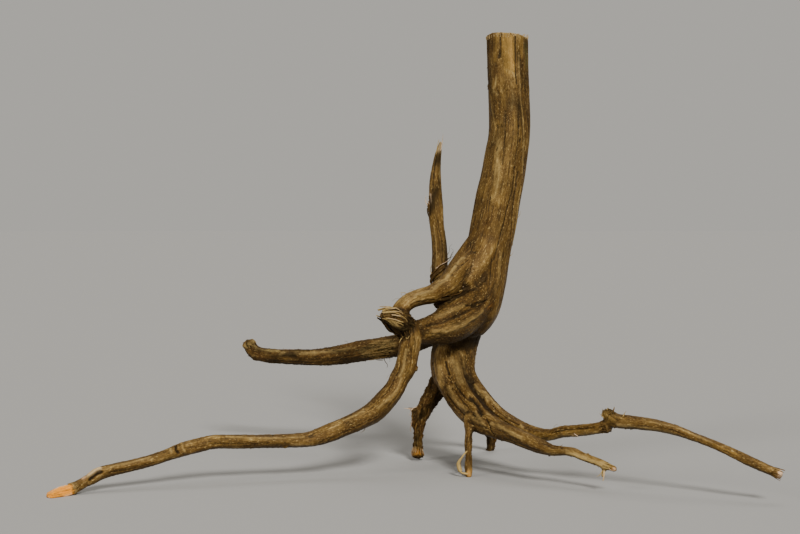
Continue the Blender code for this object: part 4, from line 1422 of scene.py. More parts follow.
TORN_BARK = (
    # the collar of torn bark at the dead shoot's foot
    Strip(Limb.SPIKE, ((58, 120, -1), (62, 84, 1.5), (67, 40, 2), (72, 6, 2), (77, -30, 1.5)), 2.6,
          tones(dark=0.8, red=0.6), 0.3),
    Strip(Limb.SPIKE, ((64, 110, -1), (68, 70, 1.5), (72, 34, 2.2), (79, 0, 2.6), (85, -34, 1.6)), 1.8,
          tones(dark=0.55, red=0.8), 0.4),
    Strip(Limb.SPIKE, ((54, 90, -1), (58, 50, 2), (63, 18, 2.5), (66, -16, 2)), 2.0, tones(dark=0.9), 0.3),
    Strip(Limb.SPIKE, ((76, 30, 0), (81, -6, 3), (86, -40, 3.5), (89, -60, 3)), 0.7, tones(pink=0.9)),
    Strip(Limb.SPIKE, ((70, 76, 0), (76, 72, 2.2), (80, 60, 2.4)), 0.8, tones(straw=0.7)),
    # torn bark and crumbs in the fork under the bridge
    Strip(Limb.BRIDGE, ((129, 58, -1), (121, 68, 1.2), (113, 74, 1.8), (103, 78, 0)), 2.0, tones(dark=0.9), 0.3),
    Strip(Limb.BRIDGE, ((125, 72, -1), (115, 84, 1.5), (107, 88, 1.5)), 1.5, tones(dark=0.8, red=0.5), 0.4),
    Strip(Limb.BRIDGE, ((111, 66, 0), (103, 74, 2.2), (97, 78, 2.2)), 1.2, tones(red=0.6, dark=0.4), 0.5),
    Strip(Limb.BRIDGE, ((101, 70, 0), (98, 76, 1.4), (96, 80, 1.8)), 0.7, tones(straw=0.9), 0.4),
    Strip(Limb.BRIDGE, ((95, 66, 0), (91, 72, 1.4), (89, 76, 1.4)), 0.7, tones(pink=0.5, straw=0.6), 0.4),
    Strip(Limb.BRIDGE, ((107, 72, 0), (104, 80, 1.2), (101, 84, 1.4)), 0.6, tones(straw=0.8), 0.4),
    Strip(Limb.BRIDGE, ((85, 40, -1), (79, 38, 1.0), (73, 44, 1.2), (71, 54, 0.6)), 0.9, tones(dark=0.8)),
    # the flap under the elbow
    Strip(Limb.BARK_FLAP, ((14, 30, 0), (18, 60, 2), (20, 90, 4), (18, 110, 7)), 2.2, tones(dark=0.7, red=0.5), 0.4),
    Strip(Limb.BARK_FLAP, ((20, 20, 0), (24, 50, 2.5), (25, 80, 5), (23, 100, 8)), 1.3, tones(pink=0.7, red=0.3)),
    Strip(Limb.BARK_FLAP, ((24, 0, 0), (28, 30, 2), (30, 60, 3.5)), 1.0, tones(straw=0.8)),
    # fibres under the knot
    Strip(Limb.LEFT_ROOT, ((13, -40, -1), (16, -50, 2), (20, -54, 3.5)), 0.7, tones(straw=1.0)),
    Strip(Limb.LEFT_ROOT, ((12, -34, -1), (15, -26, 1.2), (16, -14, 1.6), (14, -6, 1.4)), 0.6, tones(straw=0.9)),
    Strip(Limb.LEFT_ROOT, ((8, -60, -1), (12, -72, 4), (15, -78, 8), (20, -76, 10)), 0.8, tones(dark=0.9, red=0.4)),
    Strip(Limb.LEFT_ROOT, ((6, -20, 0), (12, -22, 1.4), (18, -26, 1.8)), 1.0, tones(dark=0.9, red=0.4)),
    Strip(Limb.LEFT_ROOT, ((4, 0, 0), (10, -4, 1.2), (15, 0, 1.4)), 0.9, tones(dark=0.7, red=0.4)),
    Strip(Limb.LEFT_ROOT, ((12, 20, -1), (20, 26, 1.6), (27, 24, 2.2)), 0.8, tones(dark=0.6)),
    # tears on the dead shoot
    Strip(Limb.SPIKE, ((150, 80, -1), (157, 84, 2.6), (162, 84, 4), (167, 80, 3)), 0.6, tones(pink=0.9)),
    Strip(Limb.SPIKE, ((154, 64, -1), (161, 70, 2.2), (166, 78, 3.4)), 0.5, tones(pink=0.8)),
    Strip(Limb.SPIKE, ((136, 76, -1), (144, 80, 1.6), (152, 86, 2.4)), 1.4, tones(dark=0.9, red=0.6), 0.4),
    Strip(Limb.SPIKE, ((222, -40, -1), (230, -50, 0.1), (237, -40, 0.6), (243, -20, 0.8)), 0.8, tones(pink=0.7)),
    Strip(Limb.SPIKE, ((214, 50, -1), (226, 60, 0.2), (236, 70, 0.8)), 0.8, tones(straw=0.9)),
    # plates and hooks on the left leg
    Strip(Limb.LEG_PLATE, ((2, -60, -1), (8, -70, 1.5), (14, -80, 2.5)), 1.0, tones(pink=0.8)),
    Strip(Limb.LEG_SPUR, ((6, 0, -1), (13, 10, 0.4), (18, 30, 1.6)), 0.8, tones(pink=0.8)),
    Strip(Limb.LEG_PLATE, ((10, 60, -1), (18, 70, 1.8), (27, 80, 1.4)), 1.6, tones(dark=0.8, red=0.6), 0.4),
    Strip(Limb.LEG_PLATE, ((20, -40, -1), (27, -60, 2.4), (31, -70, 4)), 0.9, tones(red=0.6, pink=0.4)),
    Strip(Limb.LEFT_LEG, ((56, 30, -1), (64, 36, 1.6), (72, 30, 1.2)), 1.8, tones(dark=0.6, red=0.7), 0.4),
    Strip(Limb.LEFT_LEG, ((78, -30, -1), (86, -34, 1.6), (92, -30, 1.8)), 1.2, tones(red=0.6), 0.4),
    # the curl of bark at the front leg's foot
    Strip(Limb.BARK_CURL, ((0, 0, -2.4), (8, 0, -1.9), (14, 0, -1.7), (22, 0, -1.7), (30, 0, -1.6), (37, 0, -1.4)),
          2.2, tones(straw=1.0), 0.6),
    Strip(Limb.BARK_CURL, ((11, 0, -1.7), (20, 30, -1.2), (30, 0, -1.0)), 2.8, tones(straw=0.9), 0.7),
    # the split tip of the front root and what hangs from it
    Strip(Limb.FRONT_ROOT, ((328, -30, -1), (332, -34, 0.3), (335, -20, 0.5), (338, -8, 0.4)), 0.7,
          tones(pink=0.6, raw=0.4)),
    Strip(Limb.FRONT_ROOT, ((318, 40, -1), (325, 44, 0.3), (333, 50, 1.0)), 0.9, tones(straw=0.9)),
    Strip(Limb.HANGING_SPLINTER, ((2, 0, -2), (9, 20, -0.5), (14, 60, 0.4), (17, 90, 0.5)), 1.8,
          tones(straw=0.9, pink=0.4), 0.4),
    Strip(Limb.HANGING_SPLINTER, ((6, -60, -1), (12, -70, 1.5), (15, -80, 4)), 0.6, tones(straw=0.9)),
    # scraps on the right root and a twig by its knob
    Strip(Limb.RIGHT_ROOT, ((230, -16, -1), (234, -22, 1.6), (238, -30, 3)), 0.9, tones(pink=0.8)),
    Strip(Limb.RIGHT_ROOT, ((204, 30, -1), (209, 32, 1.2), (214, 28, 1.4)), 1.4, tones(dark=0.5, red=0.5), 0.4),
    Strip(Limb.RIGHT_TIP, ((19, 60, -1), (20, 76, 2), (22, 82, 4.5)), 0.8, tones(straw=0.8)),
    Strip(Limb.RIGHT_KNOB, ((10, 60, -1), (13, 70, 1.6), (15, 80, 3)), 0.9, tones(straw=0.6)),
    Strip(Limb.RIGHT_KNOB, ((12, -50, -1), (15, -60, 1.4), (18, -64, 2.6)), 1.0, tones(red=0.5)),
)  # fmt: skip


@dataclass(frozen=True)
class Fringe:
    """Strips that stand side by side round a root, such as torn fibres and slivers of bark.

    Attributes:
        limb: the root.
        count: how many.
        turns: the first and last turn in degrees.
        starts: (along, lift) where they leave the wood.
        middles: (along, lift) halfway.
        ends: (along, lift) at their free ends.
        thick: half the width of the narrowest and the widest, in millimetres.
        tones: their finish.
        uneven: how far chance moves each place along the root, in millimetres.
        taper: how much thinner their free ends are.
    """

    limb: Limb
    count: int
    turns: Pair
    starts: Pair
    middles: Pair
    ends: Pair
    thick: Pair
    tones: tuple[tuple[Tone, float], ...]
    uneven: float = 3.0
    taper: float = 0.5

    def strips(self, draw: np.random.Generator) -> list[Strip]:
        """Makes the strips, each a little different."""
        made = []
        for turn in np.linspace(*self.turns, self.count):
            swing, longer = draw.normal(0.0, 4.0), draw.uniform(-1.0, 1.0)
            path = tuple(
                (
                    along + self.uneven * (longer + 0.4 * draw.normal()) * (0.4 + 0.3 * step),
                    turn + swing * step,
                    lift + 0.25 * self.uneven * draw.uniform(-0.3, 1.0) * (step > 0),
                )
                for step, (along, lift) in enumerate((self.starts, self.middles, self.ends))
            )
            shade = draw.uniform(0.75, 1.0)
            own = tuple((tone, share * shade) for tone, share in self.tones)
            made.append(Strip(self.limb, path, draw.uniform(*self.thick), own, self.taper))
        return made


FRINGES = (
    # the knot's layers of frayed wood, the outer over the inner
    Fringe(Limb.STUB, 14, (-190.0, 4.0), (22, -1.5), (37, 0.9), (52, -2.4), (0.8, 1.3), tones(straw=1.0),
           5.0, 0.3),
    Fringe(Limb.STUB, 6, (-120.0, -6.0), (27, -0.5), (38, 2.0), (47, 1.6), (0.8, 1.2), tones(straw=1.0, pink=0.4), 5.0),
    Fringe(Limb.STUB, 4, (12.0, 34.0), (26, -1.2), (38, 0.2), (52, -3.6), (0.9, 1.4), tones(straw=0.55, green=0.3),
           3.0, 0.4),
    Fringe(Limb.STUB, 13, (52.0, 168.0), (4, -1.5), (26, 1.2), (44, -1.6), (1.2, 2.0), tones(dark=1.0, red=0.4),
           5.0, 0.4),
    Fringe(Limb.LEFT_ROOT, 9, (-130.0, -30.0), (-6, 9.0), (3, 6.0), (12, 0.5), (1.3, 2.2), tones(dark=1.0, red=0.3),
           4.0, 0.5),
    # the chopped tip's collar of bark
    Fringe(Limb.LEFT_ROOT, 18, (-180.0, 160.0), (461, -0.8), (466, 0.0), (470, 0.2), (0.5, 1.0),
           tones(straw=0.5, red=0.3), 1.8),
    # slivers round the saw cut
    Fringe(Limb.STEM, 46, (-180.0, 172.0), (38, -0.8), (35, 0.0), (33.4, 0.3), (0.5, 1.1), tones(straw=0.8, pink=0.2),
           1.1, 0.5),
    # the back branch's torn bark
    Fringe(Limb.BACK_BRANCH, 13, (-40.0, 64.0), (84, -0.8), (96, 0.3), (108, 1.0), (0.4, 0.9),
           tones(straw=0.35, red=0.4), 10.0),
    Fringe(Limb.BACK_BRANCH, 9, (0.0, 80.0), (112, -0.8), (103, 0.6), (94, 1.4), (0.35, 0.8),
           tones(bare=0.5, red=0.3), 8.0),
    # the left leg's flared foot
    Fringe(Limb.LEFT_LEG, 15, (-180.0, 156.0), (108, -0.8), (113, -0.3), (117, 0.0), (0.5, 0.9),
           tones(bare=0.8, pink=0.3, red=0.4), 1.6),
    # the split ends of the right root and its tip
    Fringe(Limb.RIGHT_ROOT, 9, (-180.0, 140.0), (267, -0.8), (271, 0.1), (275, 0.4), (0.6, 1.0), tones(red=0.4), 1.6),
    Fringe(Limb.RIGHT_TIP, 8, (-180.0, 135.0), (188, -0.7), (194, 0.2), (198, 0.5), (0.7, 1.1), tones(red=0.6), 2.0),
)  # fmt: skip


@dataclass
class LooseStrips:
    """Everything torn, frayed or hairy that stands off the wood.

    Attributes:
        step: length between the rings of a strip, in millimetres.
        wander: how far a strip strays from its line, in millimetres.
        curl: the distance over which it strays, in millimetres.
        flat: its depth as a share of its width.
        sides: points round it.
        seed: of all chance.
    """

    step: float = 1.6
    wander: float = 0.7
    curl: float = 5.0
    flat: float = 0.55
    sides: int = 6
    seed: int = 5

    def build(self, material: bpy.types.Material) -> bpy.types.Object:
        """Makes the piece.

        Args:
            material: its finish.

        Returns:
            The piece.
        """
        made = self.recipe().run(
            self.lines(), "torn_bark_and_fibres", material,
            Step=self.step * MM, Wander=self.wander * MM, Curl=1.0 / (self.curl * MM), Flat=self.flat,
            Sides=self.sides, Seed=self.seed,
        )  # fmt: skip
        keep_above_floor(made.data)
        return made

    def lines(self) -> bpy.types.Object:
        """The strips' middle lines, with their width, taper and finish at each point."""
        draw = np.random.default_rng(self.seed)
        strips = [*HAIR_ROOTS, *TORN_BARK, *(strip for fringe in FRINGES for strip in fringe.strips(draw))]
        courses = {strand.limb: strand.course for strand in (*STRANDS, BARK_CURL)}
        points, edges, owners = [], [], []
        for number, strip in enumerate(strips):
            first = len(points)
            points += [courses[strip.limb].spot(*place) for place in strip.path]
            edges += [(i, i + 1) for i in range(first, len(points) - 1)]
            owners += [number] * len(strip.path)
        points = np.array(points)
        points[:, 2] = np.maximum(points[:, 2], 1.2)
        data = bpy.data.meshes.new("strips")
        data.from_pydata((points * MM).tolist(), edges, [])
        owned = [strips[number] for number in owners]
        store(data, "thick", np.array([strip.thick for strip in owned]) * MM)
        store(data, "taper", np.array([strip.taper for strip in owned]))
        store(data, "offset", np.array(owners, dtype=float))
        for tone in Tone:
            store(data, tone.value, np.array([dict(strip.tones).get(tone, 0.0) for strip in owned]))
        obj = bpy.data.objects.new("strips", data)
        bpy.context.scene.collection.objects.link(obj)
        return obj

    @staticmethod
    def recipe() -> Recipe:
        """The tree that turns lines into flattened, tapering strips that stray and twist."""
        strip = Recipe(
            "strips along lines", Step="Float", Wander="Float", Curl="Float", Flat="Float", Sides="Int", Seed="Int"
        )
        add, given = strip.add, strip.given
        line = add("GeometryNodeMeshToCurve", None, {0: given["Geometry"]})
        smooth = add("GeometryNodeCurveSplineType", {"spline_type": "CATMULL_ROM"}, {0: line})
        fine = add(
            "GeometryNodeResampleCurve", {"mode": "LENGTH"}, {0: smooth, "Length": given["Step"]}
        )
        place = add("GeometryNodeInputPosition").outputs[0]
        wave = add(
            "ShaderNodeTexNoise", {"noise_dimensions": "4D"},
            {"Vector": place, "W": given["Seed"], "Scale": given["Curl"], "Detail": 1.0},
        )  # fmt: skip
        centred = add("ShaderNodeVectorMath", {"operation": "SUBTRACT"}, {0: wave.outputs["Color"], 1: (0.5, 0.5, 0.5)})
        spread = add("ShaderNodeMath", {"operation": "MULTIPLY"}, {0: given["Wander"], 1: 2.0})
        stray = add("ShaderNodeVectorMath", {"operation": "SCALE"}, {0: centred, "Scale": spread})
        strayed = add("GeometryNodeSetPosition", None, {0: fine, "Offset": stray})
        share = add("GeometryNodeSplineParameter")
        named = {
            name: add("GeometryNodeInputNamedAttribute", {"data_type": "FLOAT"}, {"Name": name}).outputs[0]
            for name in ("thick", "taper", "offset")
        }
        eased = add("ShaderNodeMath", {"operation": "POWER"}, {0: share.outputs["Factor"], 1: 1.6})
        lost = add("ShaderNodeMath", {"operation": "MULTIPLY"}, {0: eased, 1: named["taper"]})
        left = add("ShaderNodeMath", {"operation": "SUBTRACT"}, {0: 1.0, 1: lost})
        width = add("ShaderNodeMath", {"operation": "MULTIPLY"}, {0: left, 1: named["thick"]})
        turned = add("ShaderNodeMath", {"operation": "MULTIPLY_ADD"}, {0: share.outputs["Factor"], 1: 1.2, 2: named["offset"]})
        tilted = add("GeometryNodeSetCurveTilt", None, {0: strayed, "Tilt": turned})
        kept = add("GeometryNodeStoreNamedAttribute", {"data_type": "FLOAT", "domain": "POINT"},
                   {0: tilted, "Name": "length", "Value": share.outputs["Length"]})  # fmt: skip
        ring = add("GeometryNodeCurvePrimitiveCircle", None, {"Resolution": given["Sides"], "Radius": 1.0})
        shape = add("ShaderNodeCombineXYZ", None, {0: 1.0, 1: given["Flat"], 2: 1.0})
        oval = add("GeometryNodeTransform", None, {0: ring, "Scale": shape})
        marked = add("GeometryNodeStoreNamedAttribute", {"data_type": "FLOAT_VECTOR", "domain": "POINT"},
                     {0: oval, "Name": "round", "Value": place})  # fmt: skip
        body = add("GeometryNodeCurveToMesh", None,
                   {0: kept, 1: marked, "Scale": width, "Fill Caps": True})  # fmt: skip
        around = add("GeometryNodeInputNamedAttribute", {"data_type": "FLOAT_VECTOR"}, {"Name": "round"})
        length = add("GeometryNodeInputNamedAttribute", {"data_type": "FLOAT"}, {"Name": "length"})
        across = add("ShaderNodeVectorMath", {"operation": "SCALE"}, {0: around, "Scale": 1.5})
        apart = add("ShaderNodeMath", {"operation": "MULTIPLY_ADD"}, {0: length, 1: 1.0 / MM, 2: named["offset"]})
        along = add("ShaderNodeCombineXYZ", None, {0: named["offset"], 2: apart})
        grain = add("ShaderNodeVectorMath", {"operation": "ADD"}, {0: across, 1: along})
        grained = add("GeometryNodeStoreNamedAttribute", {"data_type": "FLOAT_VECTOR", "domain": "POINT"},
                      {0: body, "Name": Grain.FIRST.value, "Value": grain})  # fmt: skip
        strip.close(grained.outputs[0])
        return strip


@dataclass
class BarkFlakes:
    """Scales and slivers of thin bark, strewn where the bark crumbles and laid along the grain.

    Attributes:
        name: the piece's name.
        length: millimetres along the grain.
        width: millimetres across it.
        depth: millimetres.
        density: flakes a square metre of crumbling bark.
        lean: how far they lift off the wood, in radians.
        seed: of all chance.
    """

    name: str
    length: float
    width: float
    depth: float
    density: float
    lean: float
    seed: int

    def build(self, wood: bpy.types.Object, material: bpy.types.Material) -> bpy.types.Object:
        """Makes the piece.

        Args:
            wood: the finished wood, which is kept.
            material: its finish.

        Returns:
            The piece.
        """
        ground = bpy.data.objects.new("ground", wood.data.copy())
        bpy.context.scene.collection.objects.link(ground)
        made = self.recipe().run(
            ground, self.name, material, Length=self.length * MM, Width=self.width * MM, Depth=self.depth * MM,
            Density=self.density, Lean=self.lean, Seed=self.seed,
        )  # fmt: skip
        keep_above_floor(made.data)
        return made

    @staticmethod
    def recipe() -> Recipe:
        """The tree that strews bent scales over the wood."""
        scale = Recipe(
            "bark scales", Length="Float", Width="Float", Depth="Float", Density="Float", Lean="Float", Seed="Int"
        )
        add, given = scale.add, scale.given
        crumbly = add("GeometryNodeInputNamedAttribute", {"data_type": "FLOAT"}, {"Name": Tone.SCURF.value})
        share = add("ShaderNodeMapRange", None, {"Value": crumbly, 1: 0.12, 2: 0.9, 3: 0.0, 4: 1.0})
        density = add("ShaderNodeMath", {"operation": "MULTIPLY"}, {0: share, 1: given["Density"]})
        spots = add(
            "GeometryNodeDistributePointsOnFaces", {"distribute_method": "RANDOM"},
            {0: given["Geometry"], "Density": density, "Seed": given["Seed"]},
        )  # fmt: skip
        run = add("GeometryNodeInputNamedAttribute", {"data_type": "FLOAT_VECTOR"}, {"Name": "run"})
        laid = add(
            "FunctionNodeAlignRotationToVector", {"axis": "X", "pivot_axis": "Z"},
            {"Rotation": spots.outputs["Rotation"], "Vector": run},
        )  # fmt: skip
        least = add("ShaderNodeVectorMath", {"operation": "SCALE"}, {0: (-0.8, -1.0, -1.2), "Scale": given["Lean"]})
        most = add("ShaderNodeVectorMath", {"operation": "SCALE"}, {0: (0.8, 0.4, 1.2), "Scale": given["Lean"]})
        chance = add(
            "FunctionNodeRandomValue", {"data_type": "FLOAT_VECTOR"},
            {0: least, 1: most, "Seed": given["Seed"]},
        )  # fmt: skip
        tip = add("FunctionNodeEulerToRotation", None, {0: chance})
        leant = add("FunctionNodeRotateRotation", {"rotation_space": "LOCAL"}, {0: laid, 1: tip})
        sizes = add(
            "FunctionNodeRandomValue", {"data_type": "FLOAT_VECTOR"},
            {0: (0.45, 0.5, 0.7), 1: (1.3, 1.2, 1.3), "Seed": given["Seed"]},
        )  # fmt: skip
        size = add("ShaderNodeCombineXYZ", None, {0: given["Length"], 1: given["Width"], 2: given["Depth"]})
        slab = add("GeometryNodeMeshCube", None, {"Size": size, 1: 4, 2: 3, 3: 2})
        place = add("ShaderNodeSeparateXYZ", None, {0: add("GeometryNodeInputPosition").outputs[0]})
        narrow = add("ShaderNodeMath", {"operation": "DIVIDE"}, {0: place, 1: given["Length"]})
        pinch = add("ShaderNodeMath", {"operation": "MULTIPLY_ADD"}, {0: narrow, 1: -0.9, 2: 0.55})
        thin = add("ShaderNodeMath", {"operation": "MULTIPLY"}, {0: place.outputs[1], 1: pinch})
        bend = add("ShaderNodeMath", {"operation": "MULTIPLY"}, {0: place, 1: narrow})
        rise = add("ShaderNodeMath", {"operation": "MULTIPLY_ADD"}, {0: bend, 1: 0.55, 2: place.outputs[2]})
        bent = add("ShaderNodeCombineXYZ", None, {0: place, 1: thin, 2: rise})
        shaped = add("GeometryNodeSetPosition", None, {0: slab, "Position": bent})
        strewn = add(
            "GeometryNodeInstanceOnPoints", None,
            {0: spots.outputs["Points"], "Instance": shaped, "Rotation": leant,
             "Scale": sizes},
        )  # fmt: skip
        scale.close(strewn.outputs[0])
        return scale


@dataclass(frozen=True)
class RootFinish:
    """Dry root wood, washed and handled: bark worn to a thin brown skin with bare wood between.

    The eye sees streaks along the grain from dark humus brown to straw, cracks that hold dirt, and a
    satin gloss on whatever stands proud and was rubbed. Hollows, undersides and the band under the
    elbow are darkened as painted shade, and pale streaks and flecks are painted as highlights.
    """

    darkest: str = "#1A1006"
    dark: str = "#36260D"
    middle: str = "#594019"
    light: str = "#7A5E2C"
    palest: str = "#B6975C"
    red_bark: str = "#4C270D"
    bare_wood: str = "#A27D3A"
    straw: str = "#C6A868"
    raw_wood: str = "#FFA42E"
    torn_edge: str = "#F3D3B0"
    green_film: str = "#4E5526"
    # the dark colour of dirt, cracks and specks, and of the painted shade in hollows, on undersides and under the elbow
    dirt_and_painted_shade: str = "#0C0703"
    specular: float = 0.5
    gloss_tint: str = "#FFD494"
    ior: float = 1.5

    def material(self) -> bpy.types.Material:
        """Makes the material.

        Returns:
            The material, which reads the wood's attributes.
        """
        made = bpy.data.materials.new("dry root wood with worn bark")
        made.use_nodes = True
        tree = made.node_tree
        shader = tree.nodes["Principled BSDF"]
        shader.inputs["IOR"].default_value = self.ior
        shader.inputs["Specular IOR Level"].default_value = self.specular
        shader.inputs["Specular Tint"].default_value = linear(self.gloss_tint)
        masks = {
            name: add_node(tree, "ShaderNodeAttribute", {"attribute_name": name}).outputs["Fac"]
            for name in ("hollow", "under", "crack", "streak", "sawn", *(tone.value for tone in Tone))
        }
        streaks = self.grain_group("noise along the grain", False)
        crackle = self.grain_group("net of fine cracks", True)
        fine, fibres, blotches, specks = (
            add_node(
                tree, "ShaderNodeGroup", {"node_tree": streaks},
                {"Across": across, "Along": along, "Detail": detail, "Shift": shift},
            ).outputs[0]
            for across, along, detail, shift in (
                (1.5, 17.0, 3.0, 0.0),  # fibre bundles
                (0.75, 7.5, 2.0, 11.0),  # single fibres, drawn as coarse as the render shows
                (6.5, 25.0, 3.0, 23.0),  # stains
                (1.3, 3.4, 2.0, 37.0),  # specks of bark and lichen
            )
        )  # fmt: skip
        net = add_node(
            tree, "ShaderNodeGroup", {"node_tree": crackle}, {"Across": 2.6, "Along": 5.0}
        ).outputs[0]
        colour = self.colour(tree, masks, fine, fibres, blotches, specks, net)
        ends = add_node(
            tree, "ShaderNodeMix", {"data_type": "RGBA"}, {0: masks["sawn"], 6: colour, 7: self.end_grain(tree)}
        )
        tree.links.new(ends.outputs[2], shader.inputs["Base Color"])
        tree.links.new(self.roughness(tree, masks, blotches, fibres), shader.inputs["Roughness"])
        tree.links.new(self.bump(tree, masks, fine, fibres, specks, net), shader.inputs["Normal"])
        return made

    @staticmethod
    def grain_group(name: str, net: bool) -> Tree:
        """A pattern in millimetres that is drawn out along the grain, across both grain maps.

        Args:
            name: the group's name.
            net: whether it is the distance from the nearest crack in thin bark, instead of noise.

        Returns:
            The group.
        """
        tree = bpy.data.node_groups.new(name, "ShaderNodeTree")
        for label, value in (("Across", 1.0), ("Along", 20.0), ("Detail", 3.0), ("Shift", 0.0)):
            tree.interface.new_socket(label, in_out="INPUT", socket_type="NodeSocketFloat").default_value = value
        tree.interface.new_socket("Value", in_out="OUTPUT", socket_type="NodeSocketFloat")
        given = add_node(tree, "NodeGroupInput").outputs
        sizes = add_node(
            tree, "ShaderNodeCombineXYZ", None, {0: given["Across"], 1: given["Across"], 2: given["Along"]}
        )
        values = []
        for grain in Grain:
            place = add_node(tree, "ShaderNodeAttribute", {"attribute_name": grain.value}).outputs["Vector"]
            scaled = add_node(tree, "ShaderNodeVectorMath", {"operation": "DIVIDE"}, {0: place, 1: sizes})
            shift, kind, settings, out = given["Shift"], "ShaderNodeTexNoise", None, "Fac"
            inputs: dict[str, object] = {"Scale": 1.0}
            if net:
                wander = add_node(
                    tree, "ShaderNodeTexNoise", None, {"Vector": scaled, "Scale": 1.3, "Detail": 2.0}
                )
                shift, kind, out = wander.outputs["Color"], "ShaderNodeTexVoronoi", "Distance"
                settings = {"feature": "DISTANCE_TO_EDGE"}
            else:
                inputs |= {"Detail": given["Detail"], "Roughness": 0.6}
            moved = add_node(tree, "ShaderNodeVectorMath", {"operation": "ADD"}, {0: scaled, 1: shift})
            values.append(add_node(tree, kind, settings, {"Vector": moved, **inputs}).outputs[out])
        share = add_node(tree, "ShaderNodeAttribute", {"attribute_name": "grain_mix"}).outputs["Fac"]
        mixed = add_node(
            tree, "ShaderNodeMix", {"data_type": "FLOAT"}, {0: share, 2: values[0], 3: values[1]}
        )
        add_node(tree, "NodeGroupOutput", None, {0: mixed})
        return tree

    def colour(
        self, tree: Tree, masks: dict[str, Socket], fine: Socket,
        fibres: Socket, blotches: Socket, specks: Socket,
        net: Socket
    ) -> Socket:
        """Lays the streaks, the dirt, the painted shade and the marks over each other.

        Args:
            tree: the material's tree.
            masks: the wood's attributes by name.
            fine: streaks of fibre bundles.
            fibres: streaks of single fibres.
            blotches: stains.
            specks: small spots.
            net: distance from the fine cracks.

        Returns:
            The colour.
        """
        total: Socket | float = -0.23
        # the hollow term paints shade into hollows and paints ridges lighter
        for part, weight in (
            (fine, 0.5), (fibres, 0.42), (blotches, 0.54), (masks["streak"], 0.05),
            (masks["hollow"], -0.22),
        ):  # fmt: skip
            total = add_node(
                tree, "ShaderNodeMath", {"operation": "MULTIPLY_ADD"}, {0: part, 1: weight, 2: total}
            ).outputs[0]
        even = add_node(
            tree, "ShaderNodeMath", {"operation": "MULTIPLY_ADD"}, {0: blotches, 1: 0.9, 2: 0.04}
        )
        covered = add_node(tree, "ShaderNodeMath", {"operation": "MULTIPLY"}, {0: masks["crackle"], 1: 0.75})
        calmed = add_node(
            tree, "ShaderNodeMix", {"data_type": "FLOAT"}, {0: covered, 2: total, 3: even}
        )  # thin bark hides the wood's streaks
        result = add_node(
            tree, "ShaderNodeValToRGB",
            {"stops": ((0.2, self.darkest), (0.37, self.dark), (0.52, self.middle), (0.67, self.light),
                       (0.83, self.palest))},
            {0: calmed},
        ).outputs[0]  # fmt: skip
        lit = add_node(
            tree, "ShaderNodeMapRange", None, {"Value": fine, 1: 0.3, 2: 0.7, 3: 0.72, 4: 1.15}
        ).outputs[0]
        speckle = add_node(tree, "ShaderNodeMapRange", None, {"Value": specks, 1: 0.33, 2: 0.4, 3: 1.0, 4: 0.0})
        # pale flecks along the grain, partly painted glints that break up the highlights
        flecks_and_glints = add_node(tree, "ShaderNodeMapRange", None, {"Value": specks, 1: 0.6, 2: 0.68, 3: 0.0, 4: 1.0})
        lines = add_node(tree, "ShaderNodeMapRange", None, {"Value": net, 1: 0.0, 2: 0.13, 3: 1.0, 4: 0.0})
        cracked = add_node(
            tree, "ShaderNodeMath", {"operation": "MULTIPLY"}, {0: lines, 1: masks["crackle"]}
        )
        # painted shade: the hollows go towards the dark colour
        sunk = add_node(
            tree, "ShaderNodeMapRange", None, {"Value": masks["hollow"], 1: 0.2, 2: 0.95, 3: 0.0, 4: 0.85}
        )
        crumbs = add_node(
            tree, "ShaderNodeMath", {"operation": "MULTIPLY"}, {0: speckle, 1: masks["scurf"]}
        )
        # the dark tone holds stains and holes, and also painted shade: the dark band under the elbow and the darker
        # legs and knot core
        stains_and_painted_shade = add_node(
            tree, "ShaderNodeMath", {"operation": "POWER"}, {0: masks["dark"], 1: 2.3}
        ).outputs[0]  # light stains stay light, while holes go black
        for factor, weight, colour in (
            (masks["red"], 0.45, self.red_bark),
            (masks["green"], 0.6, self.green_film),
            (masks["bare"], 0.75, self.bare_wood),
            (flecks_and_glints.outputs[0], 0.6, self.straw),
            (speckle.outputs[0], 0.42, self.dirt_and_painted_shade),
            (crumbs.outputs[0], 0.7, self.dirt_and_painted_shade),
            (cracked.outputs[0], 0.75, self.dirt_and_painted_shade),
            (masks["straw"], 0.85, self.straw),
            # painted shade in the hollows
            (sunk.outputs[0], 0.9, self.dirt_and_painted_shade),
            (masks["raw"], 1.0, self.raw_wood),
            (masks["pink"], 0.9, self.torn_edge),
            # painted shade on the undersides
            (masks["under"], 0.75, self.dirt_and_painted_shade),
            (masks["crack"], 0.6, self.dirt_and_painted_shade),
            (stains_and_painted_shade, 0.92, self.dirt_and_painted_shade),
        ):
            amount = add_node(
                tree, "ShaderNodeMath", {"operation": "MULTIPLY", "use_clamp": True}, {0: factor, 1: weight}
            )
            grainy = add_node(
                tree, "ShaderNodeVectorMath", {"operation": "SCALE"}, {0: linear(colour)[:3], "Scale": lit}
            )
            result = add_node(
                tree, "ShaderNodeMix", {"data_type": "RGBA"}, {0: amount, 6: result, 7: grainy}
            ).outputs[2]
        return result

